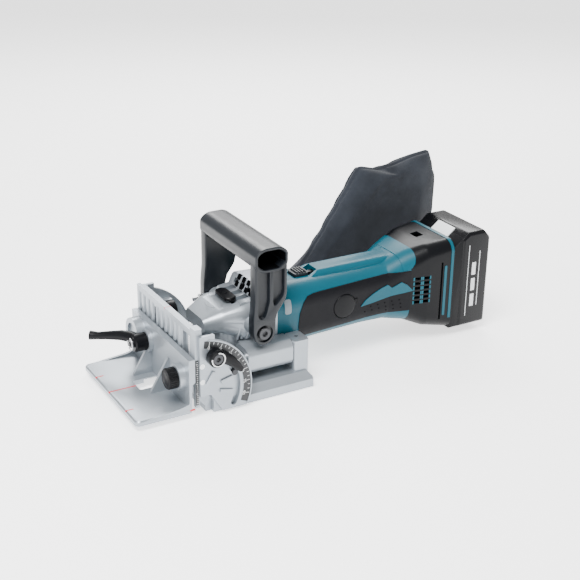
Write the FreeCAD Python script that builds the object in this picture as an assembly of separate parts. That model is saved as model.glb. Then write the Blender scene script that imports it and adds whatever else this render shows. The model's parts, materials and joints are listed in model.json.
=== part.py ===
import FreeCAD, Part
import math
import os

os.makedirs("parts", exist_ok=True)

Vector = FreeCAD.Vector

# Everything is drawn in millimetres with X = 0 on the front plane of the base, X growing
# towards the battery, Y = 0 on the middle plane and Z = 0 under the base.  Each shape is
# then moved so that the origin lies under the blade spindle.

# Driving dimensions
SPINDLE_X = 56.0
BLADE_RADIUS = 50.0
CUT_DEPTH = 20.0
PLUNGE = SPINDLE_X - BLADE_RADIUS + CUT_DEPTH
BLADE_Z = 6.2
KERF = 3.8
CHAMBER_LOW = BLADE_Z - 2.4
CHAMBER_HIGH = 12.0
MOTOR_Z = 60.0
GEAR_RATIO = 4

BASE_LENGTH = 122.0
BASE_HALF_WIDTH = 65.6
BASE_TOP = 16.0
NOSE_HALF_WIDTH = 60.3
ROD_Y = 42.0
ROD_Z = 36.0
ROD_RADIUS = 4.0

PIVOT_X = -2.0
PIVOT_Z = 25.0
SLOT_RADIUS = 38.9
SLOT_LOW = -26.0
LOCK_ANGLE = 68.0
GUIDE_STUD_ANGLE = 20.0
QUADRANT_Y = 66.0
QUADRANT_THICKNESS = 3.5

GUIDE_FRONT = -4.3
GUIDE_BACK = -0.6
GUIDE_TOP = 85.0
FENCE_HALF_WIDTH = 66.0
FENCE_FRONT = -64.0
WALL_FRONT = -10.7
WALL_BACK = -4.6
FENCE_UNDERSIDE = 5.0
FENCE_PLATE_TOP = 10.0
WALL_TOP = 59.0
KNOB_Y = -48.6
KNOB_Z = 36.7
CLAMP_Y = 24.0
CLAMP_Z = 42.5
RACK_MODULE = 0.6
RACK_PINION_TEETH = 12

GRIP_X = 79.0
GRIP_Z = 138.0
GRIP_HALF_WIDTH = 58.0
GRIP_BOLT_X = 72.1
GRIP_BOLT_Z = 64.4

HOUSING_FRONT = 99.0
HOUSING_REAR = 256.0
FLANGE_REAR = 306.0
BATTERY_REAR = 354.0
BATTERY_HALF_WIDTH = 37.5
BATTERY_BOTTOM = 8.0
BATTERY_TOP = 114.0
BRUSH_X = 177.6

GAP = 0.3
FIT = 0.05
MESH_GAP = 0.08

COVER_FRONT = 12.0
COVER_REAR = 110.0
COVER_TOP = 2.3
COVER_SCREW_Y = 51.0
TUBE_FRONT = 56.0
TUBE_REAR = 104.6
SPRING_REAR = 96.0
BARREL_BOTTOM = 17.2
RACK_TIP = 0.45
RACK_ROOT = 0.65
GROOVE_LEFT = -55.2
GROOVE_RIGHT = -40.4
QUADRANT_RADIUS = 53.8
DRUM_Y = 42.0
DRUM_Z = 60.0
DRUM_RADIUS = 10.0
STOP_Z = DRUM_Z + 6.6
LOCK_X = 60.0
LOCK_PIN_X = 61.0
LOCK_PIN_Y = -12.0
LOCK_PIN_RADIUS = 2.0
PORT_X = 78.0
PORT_Z = 9.4
PORT_RADIUS = 6.6
BAG_DIRECTION = (1.0, 0.0, 0.5)
SWITCH_LOW = 133.0
SWITCH_HIGH = 149.0
MOTOR_YOKE = 28.0
BATTERY_SPLIT = 86.0
SCREW_X = (201.0, 247.0)
SCREW_Z = (38.0, 80.0)


# Drawing helpers

def block(x, y, z):
    """A box between two X, two Y and two Z values."""
    return Part.makeBox(x[1] - x[0], y[1] - y[0], z[1] - z[0], Vector(x[0], y[0], z[0]))


def rod(radius, start, axis, length):
    """A cylinder from a start point along an axis given as a letter."""
    along = {"x": Vector(1, 0, 0), "y": Vector(0, 1, 0), "z": Vector(0, 0, 1)}[axis]
    return Part.makeCylinder(radius, length, Vector(*start), along)


def ring(outer, inner, start, axis, length):
    return rod(outer, start, axis, length).cut(rod(inner, start, axis, length))


def side_profile(points, y):
    """A polygon in the X-Z plane pulled out between two Y values."""
    face = Part.Face(Part.makePolygon([Vector(px, y[0], pz) for px, pz in points + points[:1]]))
    return face.extrude(Vector(0, y[1] - y[0], 0))


def plan_profile(points, z):
    """A polygon in the X-Y plane pulled up between two Z values."""
    face = Part.Face(Part.makePolygon([Vector(px, py, z[0]) for px, py in points + points[:1]]))
    return face.extrude(Vector(0, 0, z[1] - z[0]))


def front_profile(points, x):
    """A polygon in the Y-Z plane pulled out between two X values."""
    face = Part.Face(Part.makePolygon([Vector(x[0], py, pz) for py, pz in points + points[:1]]))
    return face.extrude(Vector(x[1] - x[0], 0, 0))


def revolved(points, centre_x, centre_y=0.0):
    """A polygon of radius and height turned about a vertical axis."""
    outline = [Vector(centre_x + r, centre_y, z) for r, z in points + points[:1]]
    return Part.Face(Part.makePolygon(outline)).revolve(
        Vector(centre_x, centre_y, 0), Vector(0, 0, 1), 360)


def turned_along_x(points, centre_z, centre_y=0.0):
    """A polygon of place along X and radius turned about an axis along X."""
    outline = [Vector(x, centre_y, centre_z + r) for x, r in points + points[:1]]
    return Part.Face(Part.makePolygon(outline)).revolve(
        Vector(0, centre_y, centre_z), Vector(1, 0, 0), 360)


def parallel_edges(shape, axis):
    """The straight edges of a shape that run along an axis given as a letter."""
    unit = {"x": Vector(1, 0, 0), "y": Vector(0, 1, 0), "z": Vector(0, 0, 1)}[axis]
    found = []
    for edge in shape.Edges:
        if isinstance(edge.Curve, Part.Line):
            along = edge.tangentAt(edge.FirstParameter)
            if abs(along.dot(unit)) > 0.999:
                found.append(edge)
    return found


def rounded(shape, radius, axis):
    return shape.makeFillet(radius, parallel_edges(shape, axis))


def section(x, half_width, low, high, corner):
    """A closed wire across the X axis: a rectangle with rounded corners."""
    face = Part.Face(Part.makePolygon([
        Vector(x, -half_width, low), Vector(x, half_width, low),
        Vector(x, half_width, high), Vector(x, -half_width, high),
        Vector(x, -half_width, low)]))
    slab = face.extrude(Vector(1, 0, 0))
    slab = slab.makeFillet(corner, parallel_edges(slab, "x"))
    for side in slab.Faces:
        if abs(side.CenterOfMass.x - x) < 1e-6:
            return side.OuterWire
    return None


def lofted(stations):
    """A body through rounded sections, each given as x, half width, low, high and corner."""
    return Part.makeLoft([section(*station) for station in stations], True, True)


def shrunk(stations, wall):
    return [(x, half - wall, low + wall, high - wall, corner - wall)
            for x, half, low, high, corner in stations]


def grown(stations, wall):
    return [(x, half + wall, low - wall, high + wall, corner + wall)
            for x, half, low, high, corner in stations]


def joined(shapes):
    """One solid from several that touch or overlap."""
    first = shapes[0]
    return first.fuse(shapes[1:]).removeSplitter() if len(shapes) > 1 else first


def on_arc(radius, degrees, y):
    """A point at a distance and angle from the tilting axis of the guide."""
    turn = math.radians(degrees)
    return (PIVOT_X + radius * math.cos(turn), y, PIVOT_Z + radius * math.sin(turn))


def arc_band(inner, outer, low, high, y):
    """Part of a flat ring about the tilting axis, between two angles in degrees."""
    middle = (low + high) / 2
    inside = [Vector(*on_arc(inner, turn, y[0])) for turn in (low, middle, high)]
    outside = [Vector(*on_arc(outer, turn, y[0])) for turn in (high, middle, low)]
    outline = Part.Wire([
        Part.Arc(*inside).toShape(), Part.makeLine(inside[2], outside[0]),
        Part.Arc(*outside).toShape(), Part.makeLine(outside[2], inside[0])])
    return Part.Face(outline).extrude(Vector(0, y[1] - y[0], 0))


def involute_gear(teeth, module, tip, root, slack):
    """The outline of a spur gear as radius and angle pairs, with involute flanks."""
    pitch = module * teeth / 2
    base = pitch * math.cos(math.radians(20))
    roll = math.tan(math.radians(20)) - math.radians(20)
    half = math.pi / (2 * teeth) - slack / (2 * pitch) + roll
    radii = [max(base, pitch - root) + step * (pitch + tip - max(base, pitch - root)) / 4
             for step in range(5)]
    outline = []
    for tooth in range(teeth):
        centre = 2 * math.pi * tooth / teeth
        flank = []
        for radius in radii:
            pressure = math.acos(base / radius)
            flank.append((radius, half - math.tan(pressure) + pressure))
        outline.append((pitch - root, centre - half))
        outline.extend((radius, centre - turn) for radius, turn in flank)
        outline.extend((radius, centre + turn) for radius, turn in reversed(flank))
        outline.append((pitch - root, centre + half))
    return outline


def save(name, solids):
    """Write one node, one or more separate solids, with the origin under the spindle."""
    shapes = solids if isinstance(solids, list) else [solids]
    clean = []
    for shape in shapes:
        clean.extend(shape.Solids)
    group = clean[0] if len(clean) == 1 else Part.makeCompound(clean)
    group.translate(Vector(-SPINDLE_X, 0, 0))
    group.exportStep("parts/" + name + ".step")
    print(name, len(clean), "solid(s)", round(group.Volume), "mm3", group.isValid())


# The base: the sole that carries everything else

def base_housing():
    sole = side_profile([(7.9, 0), (7.9, 6), (0, 14.4), (0, BASE_TOP),
                         (BASE_LENGTH, BASE_TOP), (BASE_LENGTH, 0)],
                        (-BASE_HALF_WIDTH, BASE_HALF_WIDTH))
    # the side skirts step down and lean in towards the top
    for side in (-1, 1):
        edge = [(side * BASE_HALF_WIDTH, 8.5), (side * (BASE_HALF_WIDTH - 7), BASE_TOP + 1),
                (side * (BASE_HALF_WIDTH + 3), BASE_TOP + 1), (side * (BASE_HALF_WIDTH + 3), 8.5)]
        sole = sole.cut(front_profile(edge, (44, BASE_LENGTH + 1)))
        sole = sole.cut(block((-1, 14), sorted((side * NOSE_HALF_WIDTH, side * 70)), (-1, 20)))
    rear_slope = side_profile([(BASE_LENGTH - 5, BASE_TOP + 1), (BASE_LENGTH + 1, BASE_TOP + 1),
                               (BASE_LENGTH + 1, 9)], (-70, 70))
    sole = sole.cut(rear_slope)
    sole = sole.cut(block((COVER_FRONT - GAP, COVER_REAR + 6), (-54.3, 54.3), (-1, COVER_TOP)))
    # the blade's room: where it rests, where it comes out, and down to the cover
    reach = BLADE_RADIUS + 0.8
    room = [rod(reach, (x, 0, CHAMBER_LOW), "z", CHAMBER_HIGH - CHAMBER_LOW)
            for x in (SPINDLE_X, SPINDLE_X - PLUNGE)]
    room.append(block((SPINDLE_X - PLUNGE, SPINDLE_X), (-reach, reach), (CHAMBER_LOW, CHAMBER_HIGH)))
    well = rod(reach, (SPINDLE_X, 0, 1), "z", CHAMBER_LOW)
    room.append(well.common(block((15, COVER_REAR), (-reach, reach), (0, CHAMBER_HIGH))))
    room.append(block((15, SPINDLE_X), (-16, 16), (1, BLADE_Z)))
    sole = sole.cut(room)
    sole = sole.cut(block((SPINDLE_X - PLUNGE - 17, SPINDLE_X + 17), (-17, 17), (10, 20)))
    sole = sole.cut(block((COVER_REAR - 1, COVER_REAR + 6), (-40.5, 40.5), (-1, 6.5)))
    pieces = [sole]
    for side in (-1, 1):
        across = sorted((side * 34, side * 57.4))
        front_post = rounded(block((12, 26), across, (BASE_TOP - 1, 46)), 3, "x")
        across = sorted((side * 36, side * 57.4))
        rear_post = rounded(block((105, BASE_LENGTH - 0.5), across, (BASE_TOP - 4, 48)), 3, "z")
        wall = side_profile([(14, 12), (46, 12), (46, 41), (30, 64), (12, 64), (12, 16)],
                            sorted((side * 58.4, side * 65.8)))
        tie = block((12, 26), sorted((side * 57, side * 59)), (BASE_TOP - 1, 44))
        pieces.extend([front_post, rear_post, wall, tie])
    pieces.append(block((11, 25.5), (36, 48), (40, 63.6)))
    base = joined(pieces)
    holes = []
    for side in (-1, 1):
        holes.append(rod(ROD_RADIUS + FIT, (10, side * ROD_Y, ROD_Z), "x", 120))
        for angle in (LOCK_ANGLE, GUIDE_STUD_ANGLE):
            holes.append(rod(3.05, on_arc(SLOT_RADIUS, angle, side * 62 - 6), "y", 12))
    holes.append(rod(DRUM_RADIUS + GAP, (9, DRUM_Y, DRUM_Z), "x", 15.3))
    holes.append(rod(3.05, (20, DRUM_Y, DRUM_Z), "x", 9))
    for side in (-1, 1):
        holes.append(rod(1.6, (COVER_FRONT + 5, side * COVER_SCREW_Y, 0), "z", 9))
        holes.append(rod(1.55, (COVER_REAR + 2.5, side * 30 - 20, 2.7), "y", 40))
        holes.append(rod(2.2, (113, side * 46, 38), "z", 12))
    holes.append(rod(PORT_RADIUS, (PORT_X, 45, PORT_Z), "y", 30))
    return base.cut(holes)


def bottom_cover():
    plate = block((COVER_FRONT, COVER_REAR - 0.5), (-54, 54), (0.4, COVER_TOP - 0.1))
    plate = rounded(plate, 4, "z")
    knuckles = []
    for y in (-34, 14):
        knuckles.append(rod(2.2, (COVER_REAR + 2.5, y, 2.7), "y", 20))
        knuckles.append(block((COVER_REAR - 4, COVER_REAR + 2.5), (y, y + 20),
                              (0.5, COVER_TOP - 0.1)))
    plate = joined([plate] + knuckles)
    bores = [rod(1.5 + FIT, (COVER_REAR + 2.5, y, 2.7), "y", 20) for y in (-34, 14)]
    bores += [rod(2.5, (COVER_FRONT + 5, side * COVER_SCREW_Y, 0), "z", 1) for side in (-1, 1)]
    bores += [rod(1.4, (COVER_FRONT + 5, side * COVER_SCREW_Y, 0), "z", 5) for side in (-1, 1)]
    return plate.cut(bores)


def cover_screws():
    screws = []
    for side in (-1, 1):
        head = rod(2.4, (COVER_FRONT + 5, side * COVER_SCREW_Y, 0.45), "z", 0.5)
        shank = rod(1.25, (COVER_FRONT + 5, side * COVER_SCREW_Y, 0.9), "z", 6)
        screws.append(joined([head, shank]))
    return screws


def cover_hinge_pins():
    return [rod(1.5, (COVER_REAR + 2.5, y, 2.7), "y", 32) for y in (-45, 13)]


def slide_rods():
    return [rod(ROD_RADIUS, (12, side * ROD_Y, ROD_Z), "x", BASE_LENGTH - 14) for side in (-1, 1)]


def return_springs():
    springs = []
    for side in (-1, 1):
        length = SPRING_REAR - 26.6
        coil = Part.makeHelix(length / 9, length - 1.4, 5.4)
        wire = Part.Wire(coil.Edges)
        profile = Part.Wire(Part.makeCircle(0.6, Vector(5.4, 0, 0), Vector(0, 1, 0)))
        spring = wire.makePipeShell([profile], True, True)
        spring.rotate(Vector(0, 0, 0), Vector(0, 1, 0), 90)
        spring.translate(Vector(27.3, side * ROD_Y, ROD_Z))
        springs.append(spring)
    return springs


def guide_studs():
    studs = []
    for side in (-1, 1):
        for angle in (LOCK_ANGLE, GUIDE_STUD_ANGLE):
            near = side < 0 and angle == LOCK_ANGLE
            reach = 73.5 if near else 69.4
            start = min(side * 59, side * reach)
            studs.append(rod(3.0, on_arc(SLOT_RADIUS, angle, start), "y", reach - 59))
    return studs


def guide_lock_lever():
    """The black cam lever on the left that clamps the tilting guide."""
    x, y, z = on_arc(SLOT_RADIUS, LOCK_ANGLE, 0)
    hub = rod(8.6, (x, -80.0, z), "y", 9.6)
    hub = hub.makeFillet(1.6, [edge for edge in hub.Edges if edge.CenterOfMass.y < -79.9])
    low = (x + 20.3, z - 14.1)
    arm = side_profile([(x + 2, z + 8), (low[0] + 4, low[1] + 2.5), (low[0] + 1, low[1] - 4.5),
                        (x - 3, z - 7.6)], (-77, -71.5))
    arm = rounded(arm, 2.0, "y")
    lever = joined([hub, arm])
    return lever.cut([rod(3.05, (x, -79, z), "y", 12), rod(5.0, (x, -80.5, z), "y", 2.5)])


def guide_lock_screw():
    x, y, z = on_arc(SLOT_RADIUS, LOCK_ANGLE, 0)
    screw = rod(4.9, (x, -79.9, z), "y", 1.9)
    socket = Part.makeCylinder(2.3, 1.6, Vector(x, -79.9, z), Vector(0, 1, 0))
    return joined([screw, rod(3.0, (x, -78.0, z), "y", 2.9)]).cut(socket)


def dust_nozzle():
    """A spigot on the right side of the base that bends back towards the bag."""
    outer = [rod(PORT_RADIUS - 0.1, (PORT_X, 54, PORT_Z), "y", 26),
             ring(PORT_RADIUS + 3, PORT_RADIUS - 1, (PORT_X, 66.2, PORT_Z), "y", 4)]
    elbow = Part.makeSphere(PORT_RADIUS + 2.2, Vector(PORT_X, 84, PORT_Z + 2))
    branch = Part.makeCylinder(PORT_RADIUS + 2, 34, Vector(PORT_X, 84, PORT_Z + 2),
                               Vector(*BAG_DIRECTION))
    inner = [rod(PORT_RADIUS - 2.4, (PORT_X, 53, PORT_Z), "y", 31),
             Part.makeSphere(PORT_RADIUS - 0.4, Vector(PORT_X, 84, PORT_Z + 2)),
             Part.makeCylinder(PORT_RADIUS - 0.6, 40, Vector(PORT_X, 84, PORT_Z + 2),
                               Vector(*BAG_DIRECTION))]
    return joined(outer + [elbow, branch]).cut(inner)


def bag_collar():
    """The plastic ring that holds the mouth of the bag on the spigot."""
    start = along_bag(20)
    outer = Part.makeCylinder(PORT_RADIUS + 6, 12, start, Vector(*BAG_DIRECTION))
    return outer.cut(Part.makeCylinder(PORT_RADIUS + 2.05, 12, start, Vector(*BAG_DIRECTION)))


def along_bag(distance):
    length = math.sqrt(sum(step * step for step in BAG_DIRECTION))
    return Vector(PORT_X + BAG_DIRECTION[0] * distance / length, 84,
                  PORT_Z + 2 + BAG_DIRECTION[2] * distance / length)


def dust_bag():
    """The outer shape of the half-filled cloth bag, from its mouth to its top seam."""
    outline = [(99, 17), (112, 12), (150, 12), (220, 22), (300, 44), (352, 66), (368, 92),
               (368, 140), (352, 168), (302, 166), (260, 163), (222, 113), (186, 69), (150, 41),
               (108, 38)]
    flat = side_profile(outline, (64, 104))
    plan = plan_profile([(98, 72), (112, 70), (160, 64.5), (300, 64.5), (369, 76), (369, 92),
                         (300, 103.5), (160, 103.5), (112, 98), (98, 96)], (0, 180))
    sleeve = Part.makeCylinder(PORT_RADIUS + 6.4, 60, along_bag(0), Vector(*BAG_DIRECTION))
    return flat.common(plan).cut(sleeve)


def depth_drum():
    """The six-step turret that limits how far the blade comes out."""
    drum = rod(DRUM_RADIUS, (11, DRUM_Y, DRUM_Z), "x", 13)
    grooves = []
    for step in range(24):
        turn = 2 * math.pi * step / 24
        grooves.append(rod(0.9, (10, DRUM_Y + (DRUM_RADIUS + 0.3) * math.cos(turn),
                                 DRUM_Z + (DRUM_RADIUS + 0.3) * math.sin(turn)), "x", 8))
    for step in range(6):
        turn = math.radians(90 + 60 * step)
        place = (18.6 + step, DRUM_Y + 6.6 * math.cos(turn), DRUM_Z + 6.6 * math.sin(turn))
        grooves.append(rod(2.5, place, "x", 10))
    return joined([drum.cut(grooves), rod(3.0, (22, DRUM_Y, DRUM_Z), "x", 3.4)])


# The tilting guide

def guide_plate():
    plate = block((GUIDE_FRONT, GUIDE_BACK), (-FENCE_HALF_WIDTH, FENCE_HALF_WIDTH), (29, GUIDE_TOP))
    band = block((GUIDE_BACK - 1, 2.0), (-52, 62), (62, GUIDE_TOP))
    post = block((GUIDE_FRONT, 3.0), (-FENCE_HALF_WIDTH, GROOVE_LEFT), (60.5, 88))
    post = rounded(post, 1.2, "z")
    rails = [block((GUIDE_FRONT, GUIDE_BACK), sorted((side * 61, side * 66)), (9, 30))
             for side in (-1, 1)]
    rails += [block((GUIDE_FRONT, 3.4), sorted((side * 61, side * 66)), (30, 58))
              for side in (-1, 1)]
    plate = joined([plate, band, post] + rails)
    cuts = [block((-9, GUIDE_BACK + 0.1), (-25, 14), (28, 60)),
            block((GUIDE_BACK, 3), (-31, 33), (50, 80.5)),
            block((-9, GUIDE_BACK + 0.1), (CLAMP_Y - 3.4, CLAMP_Y + 3.4), (CLAMP_Z - 4, CLAMP_Z + 35)),
            block((-2.4, 3), (CLAMP_Y - 7, CLAMP_Y + 7), (CLAMP_Z - 6, CLAMP_Z + 37)),
            block((-9, -0.9), (GROOVE_LEFT, GROOVE_RIGHT), (28, 79))]
    cuts += [rod(1.5, (1.2, min(side * 62, side * 70), z), "y", 8)
             for side in (-1, 1) for z in (36, 52)]
    for flute in range(10):
        centre = 58 - 10.4 * flute
        if centre > -40:
            cuts.append(rod(3.6, (GUIDE_FRONT - 1.4, centre, 28), "z", 51.5))
    return plate.cut(cuts)


def guide_rack():
    """A toothed strip down the left wall of the guide's groove."""
    pitch = math.pi * RACK_MODULE
    line = KNOB_Y - RACK_MODULE * RACK_PINION_TEETH / 2
    slope = math.tan(math.radians(20))
    tip, root, slack = RACK_TIP, RACK_ROOT, 0.16
    outline = [(GROOVE_LEFT, 12.0), (line - root, 12.0)]
    count = int((78.5 - 13.0) / pitch)
    first = KNOB_Z - pitch * int((KNOB_Z - 14.0) / pitch) - pitch / 2
    for tooth in range(count):
        middle = first + tooth * pitch
        half = pitch / 4 - slack / 2
        outline.extend([(line - root, middle - half - root * slope),
                        (line + tip, middle - half + tip * slope),
                        (line + tip, middle + half - tip * slope),
                        (line - root, middle + half + root * slope)])
    outline.extend([(line - root, 78.8), (GROOVE_LEFT, 78.8)])
    strip = front_profile(outline, (GUIDE_FRONT, -1.0))
    return strip.common(block((-9, 0), (-56, -40), (29.2, 78.8)))


def quadrant(side):
    """The flat sector that swings with the guide, with its arc slot and three ribs."""
    low = QUADRANT_Y if side > 0 else -QUADRANT_Y - QUADRANT_THICKNESS
    y = (low, low + QUADRANT_THICKNESS)
    disc = rod(QUADRANT_RADIUS, (PIVOT_X, y[0], PIVOT_Z), "y", QUADRANT_THICKNESS)
    keep = side_profile([(-1.2, 21.5), (9.5, 21.5), (21.5, 1.8), (46.5, 1.8), (60, 20), (60, 70),
                         (30, 90), (-1.2, 90)], (y[0] - 1, y[1] + 1))
    sector = disc.common(keep)
    cap = block((-1.2, 14), y, (74, 81.5))
    sector = joined([sector, cap])
    slot = arc_band(SLOT_RADIUS - 3.1, SLOT_RADIUS + 3.1, SLOT_LOW, LOCK_ANGLE,
                    (y[0] - 1, y[1] + 1))
    ends = [rod(3.1, on_arc(SLOT_RADIUS, angle, y[0] - 1), "y", QUADRANT_THICKNESS + 2)
            for angle in (SLOT_LOW, LOCK_ANGLE)]
    face = QUADRANT_Y + QUADRANT_THICKNESS
    screws = []
    for z in (36, 52):
        screws.append(rod(1.5, (1.2, min(side * 65, side * 75), z), "y", 10))
        screws.append(rod(2.6, (1.2, min(side * (face - 1.6), side * (face + 5)), z), "y", 6.6))
    return sector.cut([slot] + ends + screws)


def scale_strips():
    """The thin dark arc of degrees on the left sector and the strip of heights beside it."""
    outer = -QUADRANT_Y - QUADRANT_THICKNESS
    arc = arc_band(45.4, 52.4, -22, 84, (outer - 0.4, outer))
    strip = block((GUIDE_FRONT, -1.4), (-66.4, -FENCE_HALF_WIDTH), (12, 58))
    return [arc, strip]


def quadrant_screws():
    screws = []
    face = QUADRANT_Y + QUADRANT_THICKNESS
    for side in (-1, 1):
        for z in (36, 52):
            head = rod(2.6, (1.2, min(side * (face - 1.6), side * (face - 0.1)), z), "y", 1.5)
            shank = rod(1.5, (1.2, min(side * 62.5, side * (face - 1)), z), "y", face - 63.5)
            screws.append(joined([head, shank]))
    return screws


# The fence that rises and falls on the guide

def fence_body():
    back = [(WALL_FRONT, FENCE_UNDERSIDE), (-8.7, FENCE_UNDERSIDE), (-7.8, 33),
            (WALL_BACK, 36), (WALL_BACK, WALL_TOP), (WALL_FRONT, WALL_TOP)]
    wall = side_profile(back, (-FENCE_HALF_WIDTH, FENCE_HALF_WIDTH))
    table = block((FENCE_FRONT, WALL_FRONT + 1), (-FENCE_HALF_WIDTH, FENCE_HALF_WIDTH),
                  (FENCE_UNDERSIDE, FENCE_PLATE_TOP))
    front_corners = [edge for edge in parallel_edges(table, "z")
                     if edge.CenterOfMass.x < FENCE_FRONT + 1]
    table = table.makeFillet(5, front_corners)
    table = table.makeChamfer(1.2, [edge for edge in table.Edges
                                    if edge.CenterOfMass.z > FENCE_PLATE_TOP - 0.01
                                    and edge.CenterOfMass.x < -20])
    pieces = [wall, table]
    for side in (-1, 1):
        pieces.append(side_profile([(-30, 9), (WALL_FRONT + 1, 9), (WALL_FRONT + 1, 43),
                                    (WALL_FRONT - 1, 43), (-30, 12)],
                                   sorted((side * 19, side * 22))))
        lip = side_profile([(-56, 9), (WALL_FRONT + 1, 9), (WALL_FRONT + 1, 15), (-20, 12.5)],
                           sorted((side * 63, side * 66)))
        pieces.append(lip)
    pieces.append(rod(12.5, (-17.0, KNOB_Y, KNOB_Z), "x", 8))
    pieces.append(rod(15.5, (-20.0, 46, CLAMP_Z), "x", 12))
    pieces.append(rod(11.0, (-15.0, CLAMP_Y, CLAMP_Z), "x", 6))
    fence = joined(pieces)
    notch = rounded(block((-36, WALL_FRONT), (-10, 10), (0, 12)), 2, "z")
    pocket = plan_profile([(-8, -46), (WALL_FRONT, -46), (-24, -22), (-24, 22),
                           (WALL_FRONT, 46), (-8, 46)], (0, BLADE_Z + 2.5))
    slit = block((WALL_FRONT - 1, 0), (-46, 46), (0, BLADE_Z + 2.5))
    fence = fence.cut([notch, pocket, slit])
    return fence.cut([rod(2.65, (-32, KNOB_Y, KNOB_Z), "x", 30),
                      rod(3.1, (-32, CLAMP_Y, CLAMP_Z), "x", 30),
                      rod(9.4, (-32, CLAMP_Y, CLAMP_Z), "x", 16.95),
                      rod(10.5, (-31, 46, CLAMP_Z), "x", 13.5)])


def fence_knob():
    """The knurled wheel that raises and lowers the fence."""
    wheel = rod(10.2, (-26.4, KNOB_Y, KNOB_Z), "x", 9.1)
    wheel = wheel.makeChamfer(0.8, [edge for edge in wheel.Edges
                                    if abs(edge.CenterOfMass.x + 26.4) < 0.01])
    grooves = []
    for step in range(30):
        turn = 2 * math.pi * step / 30
        grooves.append(rod(0.7, (-27, KNOB_Y + 10.3 * math.cos(turn),
                                 KNOB_Z + 10.3 * math.sin(turn)), "x", 8.0))
    wheel = wheel.cut(grooves)
    return wheel.cut(rod(2.6, (-25.0, KNOB_Y, KNOB_Z), "x", 12))


def knob_pinion():
    """The knob's shaft, which ends in the small gear that climbs the rack."""
    shaft = rod(2.6, (-25.0, KNOB_Y, KNOB_Z), "x", 23.7)
    points = [Vector(-4.2, KNOB_Y + r * math.cos(turn + math.pi), KNOB_Z + r * math.sin(turn + math.pi))
              for r, turn in involute_gear(RACK_PINION_TEETH, RACK_MODULE, RACK_TIP, RACK_ROOT, 0.16)]
    gear = Part.Face(Part.makePolygon(points + points[:1])).extrude(Vector(2.9, 0, 0))
    return joined([shaft, gear])


def fence_clamp_screw():
    screw = rod(4.2, (-31.0, CLAMP_Y, CLAMP_Z), "x", 3.0)
    socket = rod(2.1, (-31.0, CLAMP_Y, CLAMP_Z), "x", 2.2)
    return joined([screw, rod(3.0, (-28.0, CLAMP_Y, CLAMP_Z), "x", 28.4)]).cut(socket)


def fence_clamp_lever():
    """The black lever on the fence that locks its height."""
    hub = rod(9.0, (-28.0, CLAMP_Y, CLAMP_Z), "x", 12.7)
    wing = plan_profile([(-27.8, CLAMP_Y - 4), (-21, CLAMP_Y + 7), (-23, CLAMP_Y + 18),
                         (-44, CLAMP_Y + 34), (-56, CLAMP_Y + 41), (-59, CLAMP_Y + 36),
                         (-47, CLAMP_Y + 26), (-31, CLAMP_Y + 12), (-27.8, CLAMP_Y + 6)],
                        (CLAMP_Z - 4.5, CLAMP_Z + 1.5))
    wing = rounded(wing, 1.8, "z")
    return joined([hub, wing]).cut(rod(3.05, (-29, CLAMP_Y, CLAMP_Z), "x", 20))


def fence_clamp_nut():
    """The flat nut behind the guide that the clamp screw pulls on."""
    nut = block((-2.1, 0.5), (CLAMP_Y - 6.5, CLAMP_Y + 6.5), (CLAMP_Z - 5, CLAMP_Z + 5))
    return nut.cut(rod(3.0, (-3, CLAMP_Y, CLAMP_Z), "x", 4))


# The sliding motor unit

HOUSING_STATIONS = [(HOUSING_FRONT, 34, 27, 92, 22), (112, 34, 27, 92, 22), (150, 31.5, 28, 91, 21),
                    (205, 29.5, 29, 90, 20), (232, 30, 28.5, 90.5, 20),
                    (HOUSING_REAR, 33.5, 24, 101, 18)]
HOOD_STATIONS = [(27, 20, 58, 72, 6), (44, 28, 56, 79, 10), (66, 33, 44, 84, 15),
                 (HOUSING_FRONT, 34, 27, 92, 22)]
FLANGE_STATIONS = [(HOUSING_REAR, 33.5, 24, 101, 18), (276, 37.5, 16, 107, 14),
                   (FLANGE_REAR, 40, 10, 110, 12)]


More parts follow.
